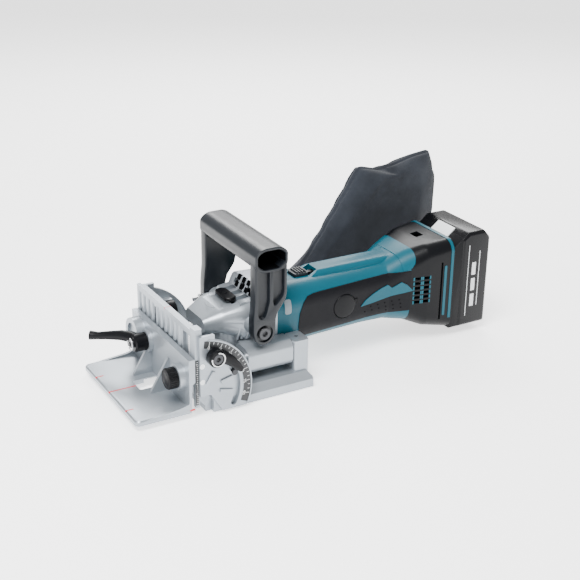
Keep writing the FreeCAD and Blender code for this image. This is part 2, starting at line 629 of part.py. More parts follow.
def gear_housing():
    """The cast head: hood, neck, spindle barrel and the two tubes that ride on the rods."""
    hood = lofted(HOOD_STATIONS)
    neck = side_profile([(60, 74), (67, 93), (74, 98), (HOUSING_FRONT, 97), (HOUSING_FRONT, 60),
                         (60, 60)], (-25, 25))
    neck = rounded(neck, 5, "x")
    barrel = rod(25.5, (SPINDLE_X, 0, BARREL_BOTTOM), "z", 50)
    pieces = [hood, neck, barrel, block((70, HOUSING_FRONT), (-44, 44), (25, 44))]
    for side in (-1, 1):
        tube = block((TUBE_FRONT, TUBE_REAR), sorted((side * 29, side * 55.5)), (22.6, 48.3))
        pieces.append(rounded(tube, 8, "x"))
        pieces.append(rod(9.0, (GRIP_BOLT_X, min(side * 28, side * 46), GRIP_BOLT_Z), "y", 18))
        pieces.append(block((58, 84), sorted((side * 20, side * 40)), (30, 48)))
    head = joined(pieces)
    cuts = [rod(22.6, (SPINDLE_X, 0, 38), "z", 24),
            rod(9.6, (SPINDLE_X, 0, 60), "z", 14),
            rod(13.05, (SPINDLE_X, 0, 20), "z", 19),
            rod(7.0, (SPINDLE_X, 0, 0), "z", 30),
            rod(10.0, (66, 0, MOTOR_Z), "x", 12),
            rod(11.05, (77, 0, MOTOR_Z), "x", 8),
            rod(24.5, (85, 0, MOTOR_Z), "x", 20),
            rod(LOCK_PIN_RADIUS + FIT, (LOCK_PIN_X, LOCK_PIN_Y, 50), "z", 50),
            rod(3.6, (LOCK_PIN_X, LOCK_PIN_Y, 74), "z", 10),
            lock_cap(GAP, 80.2, 100), lofted(grown(HOUSING_STATIONS, 0.2))]
    for side in (-1, 1):
        cuts.append(rod(ROD_RADIUS + FIT, (TUBE_FRONT - 1, side * ROD_Y, ROD_Z), "x", 60))
        cuts.append(rod(6.3, (TUBE_FRONT - 1, side * ROD_Y, ROD_Z), "x",
                        SPRING_REAR - TUBE_FRONT + 1))
        cuts.append(rod(3.0, (GRIP_BOLT_X, min(side * 33, side * 47), GRIP_BOLT_Z), "y", 14))
    cuts.append(rod(2.0, (44, DRUM_Y, STOP_Z), "x", 30))
    lug = rod(4.0, (55, DRUM_Y, STOP_Z), "x", 14)
    web = block((57, 69), (26, DRUM_Y + 3), (STOP_Z - 3, STOP_Z + 3))
    arm = block((57, 69), (DRUM_Y - 4, DRUM_Y + 4), (46, STOP_Z))
    head = joined([head, lug, web, arm])
    for row in range(2):
        for column in range(3):
            place = -17.5 + 13.0 * column
            cuts.append(block((58, 90), (place, place + 8.0), (81.5 + 7.0 * row, 86.5 + 7.0 * row)))
    return head.cut(cuts)


def lock_cap(grow, low, high):
    """The oval of the shaft-lock button between two heights, grown all round by a clearance."""
    ends = [rod(6.5 + grow, (LOCK_X, y, low), "z", high - low) for y in (-8, 8)]
    middle = block((LOCK_X - 6.5 - grow, LOCK_X + 6.5 + grow), (-8, 8), (low, high))
    return joined(ends + [middle])


def ball_bearings():
    return [ring(13.0, 5.0, (SPINDLE_X, 0, 20.2), "z", 9), ring(9.5, 4.0, (SPINDLE_X, 0, 66), "z", 7),
            ring(11.0, 4.0, (77.2, 0, MOTOR_Z), "x", 7), ring(9.5, 4.0, (191, 0, MOTOR_Z), "x", 6)]


def stop_screw():
    """The screw that meets the turret, and its lock nut."""
    screw = rod(2.0, (45.0, DRUM_Y, STOP_Z), "x", 24)
    nut = ring(4.4, 2.0, (52.0, DRUM_Y, STOP_Z), "x", 2.9)
    return [screw, nut]


def front_grip():
    """The D-shaped front handle: a hollow oval bar on two channelled legs."""
    outer = Part.makeCylinder(12, 2 * GRIP_HALF_WIDTH, Vector(0, -GRIP_HALF_WIDTH, 0), Vector(0, 1, 0))
    inner = Part.makeCylinder(8.4, 40, Vector(0, -GRIP_HALF_WIDTH, 0), Vector(0, 1, 0))
    widen = FreeCAD.Matrix()
    widen.scale(17.2 / 12, 1, 1)
    outer = outer.transformGeometry(widen)
    inner = inner.transformGeometry(widen)
    for bar in (outer, inner):
        bar.translate(Vector(GRIP_X, 0, GRIP_Z))
    legs = []
    for side in (-1, 1):
        profile = side_profile([(61.8, GRIP_Z), (96.2, GRIP_Z), (96.2, 95), (84.2, 82),
                                (84.2, GRIP_BOLT_Z), (60.1, GRIP_BOLT_Z), (60.1, 84), (61.8, 96)],
                               sorted((side * 46.2, side * GRIP_HALF_WIDTH)))
        boss = rod(12.05, (GRIP_BOLT_X, min(side * 46.2, side * GRIP_HALF_WIDTH), GRIP_BOLT_Z), "y",
                   GRIP_HALF_WIDTH - 46.2)
        leg = joined([profile, boss])
        for low, high in ((64.5, 74.5), (79.5, 91.5)):
            bottom = 80 if low < 70 else 97
            channel = block((low, high), sorted((side * 54, side * 60)), (bottom, 122))
            leg = leg.cut(channel)
        legs.append(leg)
    grip = joined([outer] + legs)
    bolts = [rod(3.05, (GRIP_BOLT_X, min(side * 46, side * 60), GRIP_BOLT_Z), "y", 14)
             for side in (-1, 1)]
    seats = [rod(6.2, (GRIP_BOLT_X, min(side * 54, side * 60), GRIP_BOLT_Z), "y", 6)
             for side in (-1, 1)]
    return grip.cut([inner] + bolts + seats)


def grip_bolts():
    bolts = []
    for side in (-1, 1):
        head = rod(6.0, (GRIP_BOLT_X, min(side * 54, side * 58.6), GRIP_BOLT_Z), "y", 4.6)
        shank = rod(3.0, (GRIP_BOLT_X, min(side * 34, side * 54), GRIP_BOLT_Z), "y", 20)
        socket = rod(2.6, (GRIP_BOLT_X, min(side * 56, side * 58.7), GRIP_BOLT_Z), "y", 2.7)
        bolts.append(joined([head, shank]).cut(socket))
    return bolts


def shaft_lock_button():
    """The button on the hood; its pin comes down to just above the bevel gear."""
    pin = rod(LOCK_PIN_RADIUS, (LOCK_PIN_X, LOCK_PIN_Y, 61.2), "z", 23.6)
    return joined([lock_cap(0, 84.6, 88.6), pin])


def shaft_lock_spring():
    return ring(3.2, 2.4, (LOCK_PIN_X, LOCK_PIN_Y, 74.2), "z", 4.4)


def motor_shell():
    """The whole motor housing, a thin wall with a rib along the top, before it is split."""
    outer = lofted(HOUSING_STATIONS)
    rib = rounded(block((148, HOUSING_REAR), (-13, 13), (80, 95.6)), 5, "x")
    rib = rib.cut(side_profile([(147, 90), (147, 97), (160, 97)], (-20, 20)))
    inner = lofted(shrunk(HOUSING_STATIONS, 2.8))
    shell = joined([outer, rib]).cut(inner)
    seats = [block((191, 199), (-32, 32), (29, 91)).common(outer),
             ring(MOTOR_YOKE + 3, MOTOR_YOKE + FIT, (108, 0, MOTOR_Z), "x", 4).common(outer)]
    seats += [rod(3.6, (x, -40, z), "y", 80).common(outer) for x in SCREW_X for z in SCREW_Z]
    shell = joined([shell] + seats)
    cuts = [rod(9.55, (190, 0, MOTOR_Z), "x", 8), rod(5, (190, 0, MOTOR_Z), "x", 20),
            rod(13.05, (BRUSH_X, -50, MOTOR_Z), "y", 24), rod(13.05, (BRUSH_X, 26, MOTOR_Z), "y", 24),
            block((SWITCH_LOW - 1, SWITCH_HIGH + 9), (-8.3, 8.3), (80, 100)),
            block((SWITCH_HIGH - 1, 232), (-2.8, 2.8), (88.9, 92.1)),
            block((213, 232), (-2.8, 2.8), (84, 92.1)),
            panel_recess(-1), panel_recess(1)]
    cuts += [rod(1.9, (x, -22, z), "y", 44) for x in SCREW_X for z in SCREW_Z]
    return shell.cut(cuts)


def panel_recess(side):
    """The shallow pocket in the motor housing that a rubber panel fills."""
    outer = lofted(grown(HOUSING_STATIONS, 2.0))
    inner = lofted(shrunk(HOUSING_STATIONS, 1.2))
    return outer.cut(inner).common(panel_zone(side))


def panel_zone(side):
    """The outline of a rubber side panel, pulled through the whole side."""
    outline = side_profile([(124, 38), (123, 50), (124.5, 64), (128.5, 74), (134, 79.5),
                            (142, 81), (200, 82), (HOUSING_REAR, 84), (HOUSING_REAR, 40),
                            (220, 41), (150, 38)], sorted((side * 14, side * 62)))
    corners = [edge for edge in parallel_edges(outline, "y")
               if edge.CenterOfMass.x < HOUSING_REAR - 1]
    return outline.makeFillet(3, corners)


def motor_housing(side):
    half = block((90, 320), sorted((0, side * 60)), (0, 130))
    return motor_shell().common(half)


def rubber_grips():
    """The soft panels let into both sides of the motor housing."""
    outer = lofted(grown(HOUSING_STATIONS, 0.5))
    inner = lofted(shrunk(HOUSING_STATIONS, 1.2))
    skin = outer.cut(inner).cut(rod(13.1, (BRUSH_X, -60, MOTOR_Z), "y", 120))
    return [skin.common(panel_zone(side)) for side in (-1, 1)]


def rear_flange():
    """The flared black tail, with the wall and the two rails that carry the battery."""
    outer = lofted(FLANGE_STATIONS)
    inner = lofted([(HOUSING_REAR, 30.5, 27, 98, 15), (276, 34.5, 19, 104, 11),
                    (302, 37, 13, 107, 9)])
    wall = outer.common(block((301, FLANGE_REAR), (-60, 60), (0, 130)))
    rails = [block((FLANGE_REAR - 1, FLANGE_REAR + 3), sorted((side * 22, side * 29)), (20, 96))
             for side in (-1, 1)]
    tail = joined([outer.cut(inner), wall] + rails)
    cuts = [block((280, 289), (-6, 6), (90, 120)), block((300, 310), (-20, 20), (40, 78))]
    for side in (-1, 1):
        cuts.append(block((290.5, 292.5), sorted((side * 34, side * 50)), (24, 88)))
        for column in (260.5, 270.5):
            for row in range(6):
                low = 46.5 + 5.2 * row
                cuts.append(block((column, column + 6.5), sorted((side * 20, side * 50)),
                                  (low, low + 2.8)))
    return tail.cut(cuts)


def switch_slider():
    """The thumb slide on top of the motor housing."""
    pad = rounded(block((SWITCH_LOW, SWITCH_HIGH), (-8, 8), (89, 94.4)), 2.0, "z")
    ridges = [block((SWITCH_LOW + 3 + 3 * step, SWITCH_LOW + 4.4 + 3 * step), (-7, 7), (94, 96))
              for step in range(4)]
    return joined([pad] + ridges)


def switch_rod():
    """The link that runs back from the slide inside the top rib and down to the switch."""
    return joined([block((SWITCH_HIGH, 222), (-2.5, 2.5), (89.2, 91.8)),
                   block((214, 222), (-2.5, 2.5), (85.8, 90))])


def switch_box():
    return block((210, 240), (-9, 9), (62, 85.4))


def terminal_block():
    body = block((292, FLANGE_REAR), (-20, 20), (40, 78))
    blades = [block((FLANGE_REAR - 1, FLANGE_REAR + 4), (side * 14 - 0.6, side * 14 + 0.6), (50, 70))
              for side in (-1, 1)]
    return joined([body] + blades)


def housing_screws():
    return [rod(1.9, (x, -22, z), "y", 44) for x in SCREW_X for z in SCREW_Z]


def brush_caps():
    caps = []
    for side in (-1, 1):
        cap = rod(13.0, (BRUSH_X, min(side * 27.5, side * 31.4), MOTOR_Z), "y", 3.9)
        notch = block((BRUSH_X - 7, BRUSH_X + 7), sorted((side * 30.2, side * 32)),
                      (MOTOR_Z - 1.1, MOTOR_Z + 1.1))
        caps.append(cap.cut(notch))
    return caps


def carbon_brushes():
    return [block((BRUSH_X - 5, BRUSH_X + 5), sorted((side * 12.2, side * 26)),
                  (MOTOR_Z - 3, MOTOR_Z + 3)) for side in (-1, 1)]


def motor_yoke():
    return ring(MOTOR_YOKE, 24.5, (108, 0, MOTOR_Z), "x", 54)


def field_magnets():
    magnets = ring(24.5, 20.6, (112, 0, MOTOR_Z), "x", 50)
    magnets = magnets.cut(block((100, 200), (-6, 6), (0, 120)))
    return magnets


# The armature

def armature_shaft():
    return rod(4.0, (SPINDLE_X + 20, 0, MOTOR_Z), "x", 121)


def armature_core():
    core = ring(19.9, 4.0, (114, 0, MOTOR_Z), "x", 44)
    slots = []
    for slot in range(12):
        turn = 2 * math.pi * slot / 12
        slots.append(rod(2.6, (113, 16.4 * math.cos(turn), MOTOR_Z + 16.4 * math.sin(turn)), "x", 46))
    return core.cut(slots)


def armature_windings():
    windings = []
    for slot in range(12):
        turn = 2 * math.pi * slot / 12
        windings.append(rod(2.5, (110, 16.4 * math.cos(turn), MOTOR_Z + 16.4 * math.sin(turn)),
                            "x", 52))
    return windings


def commutator():
    body = ring(11.6, 4.0, (168, 0, MOTOR_Z), "x", 18)
    bars = []
    for bar in range(24):
        turn = 2 * math.pi * bar / 24
        bars.append(rod(0.35, (168, 11.6 * math.cos(turn), MOTOR_Z + 11.6 * math.sin(turn)), "x", 18))
    return body.cut(bars)


def cooling_fan():
    hub = ring(8, 4.0, (90, 0, MOTOR_Z), "x", 12)
    disc = ring(22.5, 7.5, (100, 0, MOTOR_Z), "x", 2)
    blades = []
    for blade in range(13):
        vane = block((90.5, 100.5), (7, 22), (MOTOR_Z - 0.6, MOTOR_Z + 0.6))
        vane.rotate(Vector(0, 0, MOTOR_Z), Vector(1, 0, 0), 360.0 * blade / 13)
        blades.append(vane)
    return joined([hub, disc] + blades)


def bevel_pinion():
    """The small cone of nine teeth on the front of the armature."""
    apex = SPINDLE_X
    front, rear = apex + 13.0, apex + 20.0
    cone = turned_along_x([(front, 0.0), (front, 13.0 / GEAR_RATIO - MESH_GAP),
                           (rear, 20.0 / GEAR_RATIO - MESH_GAP), (rear, 0.0)], MOTOR_Z)
    grooves = []
    for tooth in range(9):
        groove = block((front - 1, rear + 1), (-0.5, 0.5), (MOTOR_Z + 3.4, MOTOR_Z + 7))
        groove.rotate(Vector(0, 0, MOTOR_Z), Vector(1, 0, 0), 40.0 * tooth)
        grooves.append(groove)
    return cone.cut(grooves)


# The spindle and what turns with it

def spindle():
    shaft = revolved([(0, BLADE_Z + 1.1), (5, BLADE_Z + 1.1), (5, 52), (4, 52.2), (4, 73),
                      (0, 73)], SPINDLE_X)
    thread = rod(4.0, (SPINDLE_X, 0, COVER_TOP + 0.5), "z", 6)
    return joined([shaft, thread])


def bevel_gear():
    """The toothed cone on the spindle that the pinion turns."""
    outline = [(5.0, 42), (20.4, 42), (20.4, MOTOR_Z - 20.4 / GEAR_RATIO - MESH_GAP),
               (12.6, MOTOR_Z - 12.6 / GEAR_RATIO - MESH_GAP), (12.6, 50), (5.0, 50)]
    gear = revolved(outline, SPINDLE_X)
    grooves = []
    for tooth in range(9 * GEAR_RATIO):
        groove = block((SPINDLE_X + 12, SPINDLE_X + 22), (-0.5, 0.5), (53.6, 60))
        groove.rotate(Vector(SPINDLE_X, 0, 0), Vector(0, 0, 1), 360.0 * tooth / (9 * GEAR_RATIO))
        grooves.append(groove)
    return gear.cut(grooves)


def inner_flange():
    return ring(15.0, 5.0, (SPINDLE_X, 0, BLADE_Z + 1.1), "z", 5.2)


def saw_blade():
    """A thin disc with six carbide teeth that cut a slot as wide as a biscuit."""
    disc = rod(BLADE_RADIUS - 3, (SPINDLE_X, 0, BLADE_Z - 1.1), "z", 2.2)
    teeth = []
    cuts = [rod(4.0, (SPINDLE_X, 0, BLADE_Z - 2), "z", 4)]
    for tooth in range(6):
        body = plan_profile([(SPINDLE_X + 40, -4), (SPINDLE_X + 49.0, 4.0), (SPINDLE_X + 46, 12),
                             (SPINDLE_X + 38, 14)], (BLADE_Z - 1.1, BLADE_Z + 1.1))
        tip = plan_profile([(SPINDLE_X + 45, 2.0), (SPINDLE_X + 49.8, 3.0), (SPINDLE_X + 49.2, 6.5),
                            (SPINDLE_X + 45, 5.5)], (BLADE_Z - KERF / 2, BLADE_Z + KERF / 2))
        for shape in (body, tip):
            shape.rotate(Vector(SPINDLE_X, 0, 0), Vector(0, 0, 1), 60 * tooth)
            teeth.append(shape)
    return joined([disc] + teeth).cut(cuts)


def lock_nut():
    nut = rod(14.0, (SPINDLE_X, 0, COVER_TOP + 0.4), "z", BLADE_Z - 1.1 - COVER_TOP - 0.4)
    holes = [rod(2.0, (SPINDLE_X + 9 * math.cos(turn), 9 * math.sin(turn), 0), "z", 4)
             for turn in (0, math.pi)]
    return nut.cut(holes + [rod(4.0, (SPINDLE_X, 0, 0), "z", 8)])


# The battery

def battery_outline():
    """The battery's outer shape: upright block with a sloping shoulder at the front."""
    case = side_profile([(FLANGE_REAR + 0.4, BATTERY_BOTTOM), (BATTERY_REAR, BATTERY_BOTTOM),
                         (BATTERY_REAR, BATTERY_TOP - 6), (BATTERY_REAR - 8, BATTERY_TOP),
                         (FLANGE_REAR + 19.5, BATTERY_TOP), (FLANGE_REAR + 0.4, BATTERY_TOP - 15)],
                        (-BATTERY_HALF_WIDTH, BATTERY_HALF_WIDTH))
    upright = [edge for edge in parallel_edges(case, "z")
               if edge.CenterOfMass.x > BATTERY_REAR - 1]
    return case.makeFillet(6.0, upright)


def battery_hollow():
    return block((FLANGE_REAR + 9, BATTERY_REAR - 3), (-34, 34), (BATTERY_BOTTOM + 3, 96))


def battery_channels():
    """What the rails and contacts of the tool need free inside the front of the pack."""
    cuts = [block((FLANGE_REAR, FLANGE_REAR + 3.6), sorted((side * 21.4, side * 29.6)), (-1, 97))
            for side in (-1, 1)]
    cuts += [block((FLANGE_REAR, FLANGE_REAR + 4.6), (side * 14 - 1.4, side * 14 + 1.4), (-1, 71))
             for side in (-1, 1)]
    return cuts


def battery_case():
    lower = battery_outline().cut([battery_hollow()] + battery_channels())
    shelf = block((300, 360), (-50, 50), (BATTERY_SPLIT, 130))
    return lower.cut(shelf)


def battery_cover():
    upper = battery_outline().cut([battery_hollow()] + battery_channels())
    upper = upper.common(block((300, 360), (-50, 50), (BATTERY_SPLIT, 130)))
    return upper.cut([button_pocket()])


def button_pocket():
    return tilted_pad(14.8, 10.6, -8.0, 3.0)


def tilted_pad(half_width, half_height, low, high):
    """A pad square to the sloping shoulder of the battery, between two depths."""
    pad = block((-half_height, half_height), (-half_width, half_width), (low, high))
    pad.rotate(Vector(0, 0, 0), Vector(0, 1, 0), -math.degrees(math.atan2(15, 19.1)))
    pad.translate(Vector(FLANGE_REAR + 9.9, 0, BATTERY_TOP - 7.5))
    return pad


def battery_button():
    """The pale release button on the battery's shoulder."""
    return tilted_pad(14.4, 10.2, -4.0, 0.4)


def battery_cells():
    cells = []
    for x in (FLANGE_REAR + 18, FLANGE_REAR + 36):
        for row in range(4):
            cells.append(rod(8.9, (x, -32.6, BATTERY_BOTTOM + 13 + 18.4 * row), "y", 65.2))
    return cells


NODES = (
    base_housing, bottom_cover, cover_screws, cover_hinge_pins, slide_rods, return_springs,
    guide_studs, guide_lock_lever, guide_lock_screw, dust_nozzle, bag_collar, dust_bag, depth_drum,
    guide_plate, guide_rack, scale_strips, quadrant_screws, fence_body, fence_knob, knob_pinion,
    fence_clamp_screw, fence_clamp_lever, fence_clamp_nut, gear_housing, ball_bearings, stop_screw,
    front_grip, grip_bolts, shaft_lock_button, shaft_lock_spring, rubber_grips, housing_screws,
    rear_flange, switch_slider, switch_rod, switch_box, terminal_block, brush_caps, carbon_brushes,
    motor_yoke, field_magnets, armature_shaft, armature_core, armature_windings, commutator,
    cooling_fan, bevel_pinion, spindle, bevel_gear, inner_flange, saw_blade, lock_nut, battery_case,
    battery_cover, battery_button, battery_cells)

for make in NODES:
    save(make.__name__, make())

for side, word in ((-1, "left"), (1, "right")):
    save("quadrant_" + word, quadrant(side))
    save("motor_housing_" + word, motor_housing(side))
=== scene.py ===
import math

import bmesh
import bpy
from mathutils import Matrix, Vector
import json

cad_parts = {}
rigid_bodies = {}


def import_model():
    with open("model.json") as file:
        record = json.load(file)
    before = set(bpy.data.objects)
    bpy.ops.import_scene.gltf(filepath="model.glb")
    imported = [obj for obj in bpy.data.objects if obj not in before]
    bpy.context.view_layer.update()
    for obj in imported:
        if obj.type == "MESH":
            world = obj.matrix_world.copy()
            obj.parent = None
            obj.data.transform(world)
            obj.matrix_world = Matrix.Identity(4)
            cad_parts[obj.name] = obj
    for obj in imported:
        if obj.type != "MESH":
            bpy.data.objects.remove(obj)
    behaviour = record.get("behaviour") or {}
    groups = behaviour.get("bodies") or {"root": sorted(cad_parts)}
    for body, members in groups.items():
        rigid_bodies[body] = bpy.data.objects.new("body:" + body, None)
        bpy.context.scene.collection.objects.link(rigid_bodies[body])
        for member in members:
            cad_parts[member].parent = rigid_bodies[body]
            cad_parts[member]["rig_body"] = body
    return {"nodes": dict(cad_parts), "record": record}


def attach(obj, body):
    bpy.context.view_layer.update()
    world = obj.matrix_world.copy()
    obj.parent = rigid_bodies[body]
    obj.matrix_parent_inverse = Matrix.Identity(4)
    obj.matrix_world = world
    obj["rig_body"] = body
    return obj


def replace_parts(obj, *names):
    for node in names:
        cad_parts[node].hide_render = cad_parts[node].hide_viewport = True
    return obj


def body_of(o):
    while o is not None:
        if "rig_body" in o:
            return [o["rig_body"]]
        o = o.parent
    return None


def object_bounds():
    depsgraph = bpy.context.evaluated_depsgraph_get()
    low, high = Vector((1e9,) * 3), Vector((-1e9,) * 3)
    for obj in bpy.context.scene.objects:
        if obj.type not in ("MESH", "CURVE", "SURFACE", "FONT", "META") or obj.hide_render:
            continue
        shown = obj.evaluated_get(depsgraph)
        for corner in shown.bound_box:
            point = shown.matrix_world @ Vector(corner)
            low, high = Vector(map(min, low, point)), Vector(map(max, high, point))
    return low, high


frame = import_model()
cad_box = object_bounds()
nodes = frame["nodes"]

MM = 0.001
# the frame's origin is under the blade spindle, this far behind the front of the base
SPINDLE = 56.0


def place(x, y, z):
    """A point in metres from millimetres behind the base's front, to the right and up."""
    return Vector(((x - SPINDLE) * MM, y * MM, z * MM))


# Camera ----------------------------------------------------------------------------------

CAMERA_PLACE = place(-402.7, -923.4, 535.8)
CAMERA_AZIMUTH = math.radians(-30.084)
CAMERA_ELEVATION = math.radians(23.352)
CAMERA_ROLL = math.radians(0.752)
CAMERA_LENS = 72.19


def add_camera():
    back = Vector((math.sin(CAMERA_AZIMUTH) * math.cos(CAMERA_ELEVATION),
                   -math.cos(CAMERA_AZIMUTH) * math.cos(CAMERA_ELEVATION),
                   math.sin(CAMERA_ELEVATION)))
    level = Vector((math.cos(CAMERA_AZIMUTH), math.sin(CAMERA_AZIMUTH), 0))
    above = back.cross(level)
    right = level * math.cos(CAMERA_ROLL) + above * math.sin(CAMERA_ROLL)
    up = back.cross(right)
    camera = bpy.data.objects.new("camera", bpy.data.cameras.new("camera"))
    camera.matrix_world = Matrix.Translation(CAMERA_PLACE) @ Matrix(
        (right, up, back)).transposed().to_4x4()
    camera.data.lens = CAMERA_LENS
    camera.data.sensor_width = 36
    bpy.context.scene.collection.objects.link(camera)
    bpy.context.scene.camera = camera


add_camera()


# Studio ----------------------------------------------------------------------------------

def add_light(name, size, power, where, towards):
    lamp = bpy.data.lights.new(name, "AREA")
    lamp.shape = "RECTANGLE"
    lamp.size, lamp.size_y = size
    lamp.energy = power
    light = bpy.data.objects.new(name, lamp)
    light.location = where
    light.rotation_euler = (Vector(where) - Vector(towards)).to_track_quat("Z", "Y").to_euler()
    bpy.context.scene.collection.objects.link(light)


def add_studio():
    low, high = cad_box
    middle = Vector(((low[0] + high[0]) / 2, (low[1] + high[1]) / 2, 0.06))
    floor_mesh = bpy.data.meshes.new("floor")
    shape = bmesh.new()
    bmesh.ops.create_grid(shape, x_segments=1, y_segments=1, size=6,
                          matrix=Matrix.Translation((0, 0, low[2] - 0.0005)))
    shape.to_mesh(floor_mesh)
    shape.free()
    floor = bpy.data.objects.new("floor", floor_mesh)
    bpy.context.scene.collection.objects.link(floor)
    paint = bpy.data.materials.new("pale_floor")
    paint.use_nodes = True
    shader = paint.node_tree.nodes["Principled BSDF"]
    shader.inputs["Base Color"].default_value = (0.95, 0.95, 0.95, 1)
    shader.inputs["Roughness"].default_value = 0.9
    shader.inputs["Emission Color"].default_value = (1, 1, 1, 1)
    shader.inputs["Emission Strength"].default_value = 1.45
    floor.data.materials.append(paint)
    world = bpy.data.worlds.new("studio")
    world.use_nodes = True
    world.node_tree.nodes["Background"].inputs["Color"].default_value = (1, 1, 1, 1)
    world.node_tree.nodes["Background"].inputs["Strength"].default_value = 0.8
    bpy.context.scene.world = world
    add_light("key", (0.7, 0.7), 42, middle + Vector((-0.6, -0.45, 1.25)), middle)
    add_light("rim", (1.2, 0.5), 26, middle + Vector((0.6, 1.0, 0.9)), middle)
    add_light("fill", (1.0, 1.0), 5, middle + Vector((-1.2, -0.5, 0.4)), middle)


add_studio()


# Materials -------------------------------------------------------------------------------

def node_group(name, inputs, outputs):
    """An empty shader group with named sockets, and its two end nodes."""
    group = bpy.data.node_groups.new(name, "ShaderNodeTree")
    for label, kind, value in inputs:
        socket = group.interface.new_socket(label, in_out="INPUT", socket_type=kind)
        if value is not None:
            socket.default_value = value
    for label, kind in outputs:
        group.interface.new_socket(label, in_out="OUTPUT", socket_type=kind)
    return group, group.nodes.new("NodeGroupInput"), group.nodes.new("NodeGroupOutput")


def noise(tree, vector, scale, detail=3.0, rough=0.5):
    made = tree.nodes.new("ShaderNodeTexNoise")
    tree.links.new(vector, made.inputs["Vector"])
    if isinstance(scale, float):
        made.inputs["Scale"].default_value = scale
    else:
        tree.links.new(scale, made.inputs["Scale"])
    made.inputs["Detail"].default_value = detail
    made.inputs["Roughness"].default_value = rough
    return made.outputs["Fac"]


def math_node(tree, operation, first, second):
    made = tree.nodes.new("ShaderNodeMath")
    made.operation = operation
    for socket, value in zip(made.inputs, (first, second)):
        if isinstance(value, (int, float)):
            socket.default_value = value
        else:
            tree.links.new(value, socket)
    return made.outputs[0]


def remap(tree, value, low, high, to_low, to_high):
    made = tree.nodes.new("ShaderNodeMapRange")
    tree.links.new(value, made.inputs["Value"])
    for label, number in (("From Min", low), ("From Max", high), ("To Min", to_low),
                          ("To Max", to_high)):
        if isinstance(number, (int, float)):
            made.inputs[label].default_value = number
        else:
            tree.links.new(number, made.inputs[label])
    return made.outputs["Result"]


def blend_colour(tree, factor, first, second, mode="MIX"):
    made = tree.nodes.new("ShaderNodeMix")
    made.data_type = "RGBA"
    made.blend_type = mode
    for socket, value in ((made.inputs["Factor"], factor), (made.inputs[6], first),
                          (made.inputs[7], second)):
        if hasattr(value, "is_linked"):
            tree.links.new(value, socket)
        else:
            socket.default_value = value
    return made.outputs[2]


def build_finish_group():
    """Colour mottling, roughness mottling and a fine grain height, for moulded and cast parts."""
    group, start, end = node_group(
        "moulded_finish",
        [("Vector", "NodeSocketVector", None), ("Colour", "NodeSocketColor", (1, 1, 1, 1)),
         ("Grain Size", "NodeSocketFloat", 900.0), ("Mottle", "NodeSocketFloat", 0.08),
         ("Roughness", "NodeSocketFloat", 0.4), ("Roughness Spread", "NodeSocketFloat", 0.08)],
        [("Colour", "NodeSocketColor"), ("Roughness", "NodeSocketFloat"), ("Grain", "NodeSocketFloat")])
    vector = start.outputs["Vector"]
    cloud = noise(group, vector, 22.0, 4.0, 0.6)
    grain = noise(group, vector, start.outputs["Grain Size"], 2.0, 0.5)
    shade = remap(group, cloud, 0.3, 0.7, math_node(group, "SUBTRACT", 1.0, start.outputs["Mottle"]),
                  math_node(group, "ADD", 1.0, start.outputs["Mottle"]))
    speck = remap(group, grain, 0.35, 0.65, 0.97, 1.03)
    tone = group.nodes.new("ShaderNodeVectorMath")
    tone.operation = "SCALE"
    group.links.new(start.outputs["Colour"], tone.inputs[0])
    group.links.new(math_node(group, "MULTIPLY", shade, speck), tone.inputs["Scale"])
    group.links.new(tone.outputs[0], end.inputs["Colour"])
    wander = noise(group, vector, 60.0, 3.0, 0.6)
    swing = math_node(group, "MULTIPLY", math_node(group, "SUBTRACT", wander, 0.5),
                      start.outputs["Roughness Spread"])
    group.links.new(math_node(group, "ADD", start.outputs["Roughness"],
                              math_node(group, "MULTIPLY", swing, 2.0)), end.inputs["Roughness"])
    group.links.new(grain, end.inputs["Grain"])
    return group


FINISH = build_finish_group()


def moulded(name, colour, roughness=0.4, metallic=0.0, grain_size=900.0, grain_depth=0.00002,
            mottle=0.06, spread=0.06, coat=0.0, shine=0.5):
    """A material for one moulded, cast or machined finish, with its own grain."""
    made = bpy.data.materials.new(name)
    made.use_nodes = True
    tree = made.node_tree
    shader = tree.nodes["Principled BSDF"]
    coordinates = tree.nodes.new("ShaderNodeTexCoord")
    finish = tree.nodes.new("ShaderNodeGroup")
    finish.node_tree = FINISH
    tree.links.new(coordinates.outputs["Object"], finish.inputs["Vector"])
    finish.inputs["Colour"].default_value = (*colour, 1)
    finish.inputs["Grain Size"].default_value = grain_size
    finish.inputs["Mottle"].default_value = mottle
    finish.inputs["Roughness"].default_value = roughness
    finish.inputs["Roughness Spread"].default_value = spread
    bump = tree.nodes.new("ShaderNodeBump")
    bump.inputs["Strength"].default_value = 0.6
    bump.inputs["Distance"].default_value = grain_depth
    tree.links.new(finish.outputs["Grain"], bump.inputs["Height"])
    tree.links.new(bump.outputs["Normal"], shader.inputs["Normal"])
    tree.links.new(finish.outputs["Colour"], shader.inputs["Base Color"])
    tree.links.new(finish.outputs["Roughness"], shader.inputs["Roughness"])
    shader.inputs["Metallic"].default_value = metallic
    shader.inputs["Coat Weight"].default_value = coat
    shader.inputs["Coat Roughness"].default_value = 0.25
    shader.inputs["Specular IOR Level"].default_value = shine
    return made


# a pair of threads takes 1.3 mm, which is one turn of a sine wave
THREADS = 2 * math.pi / 0.0013


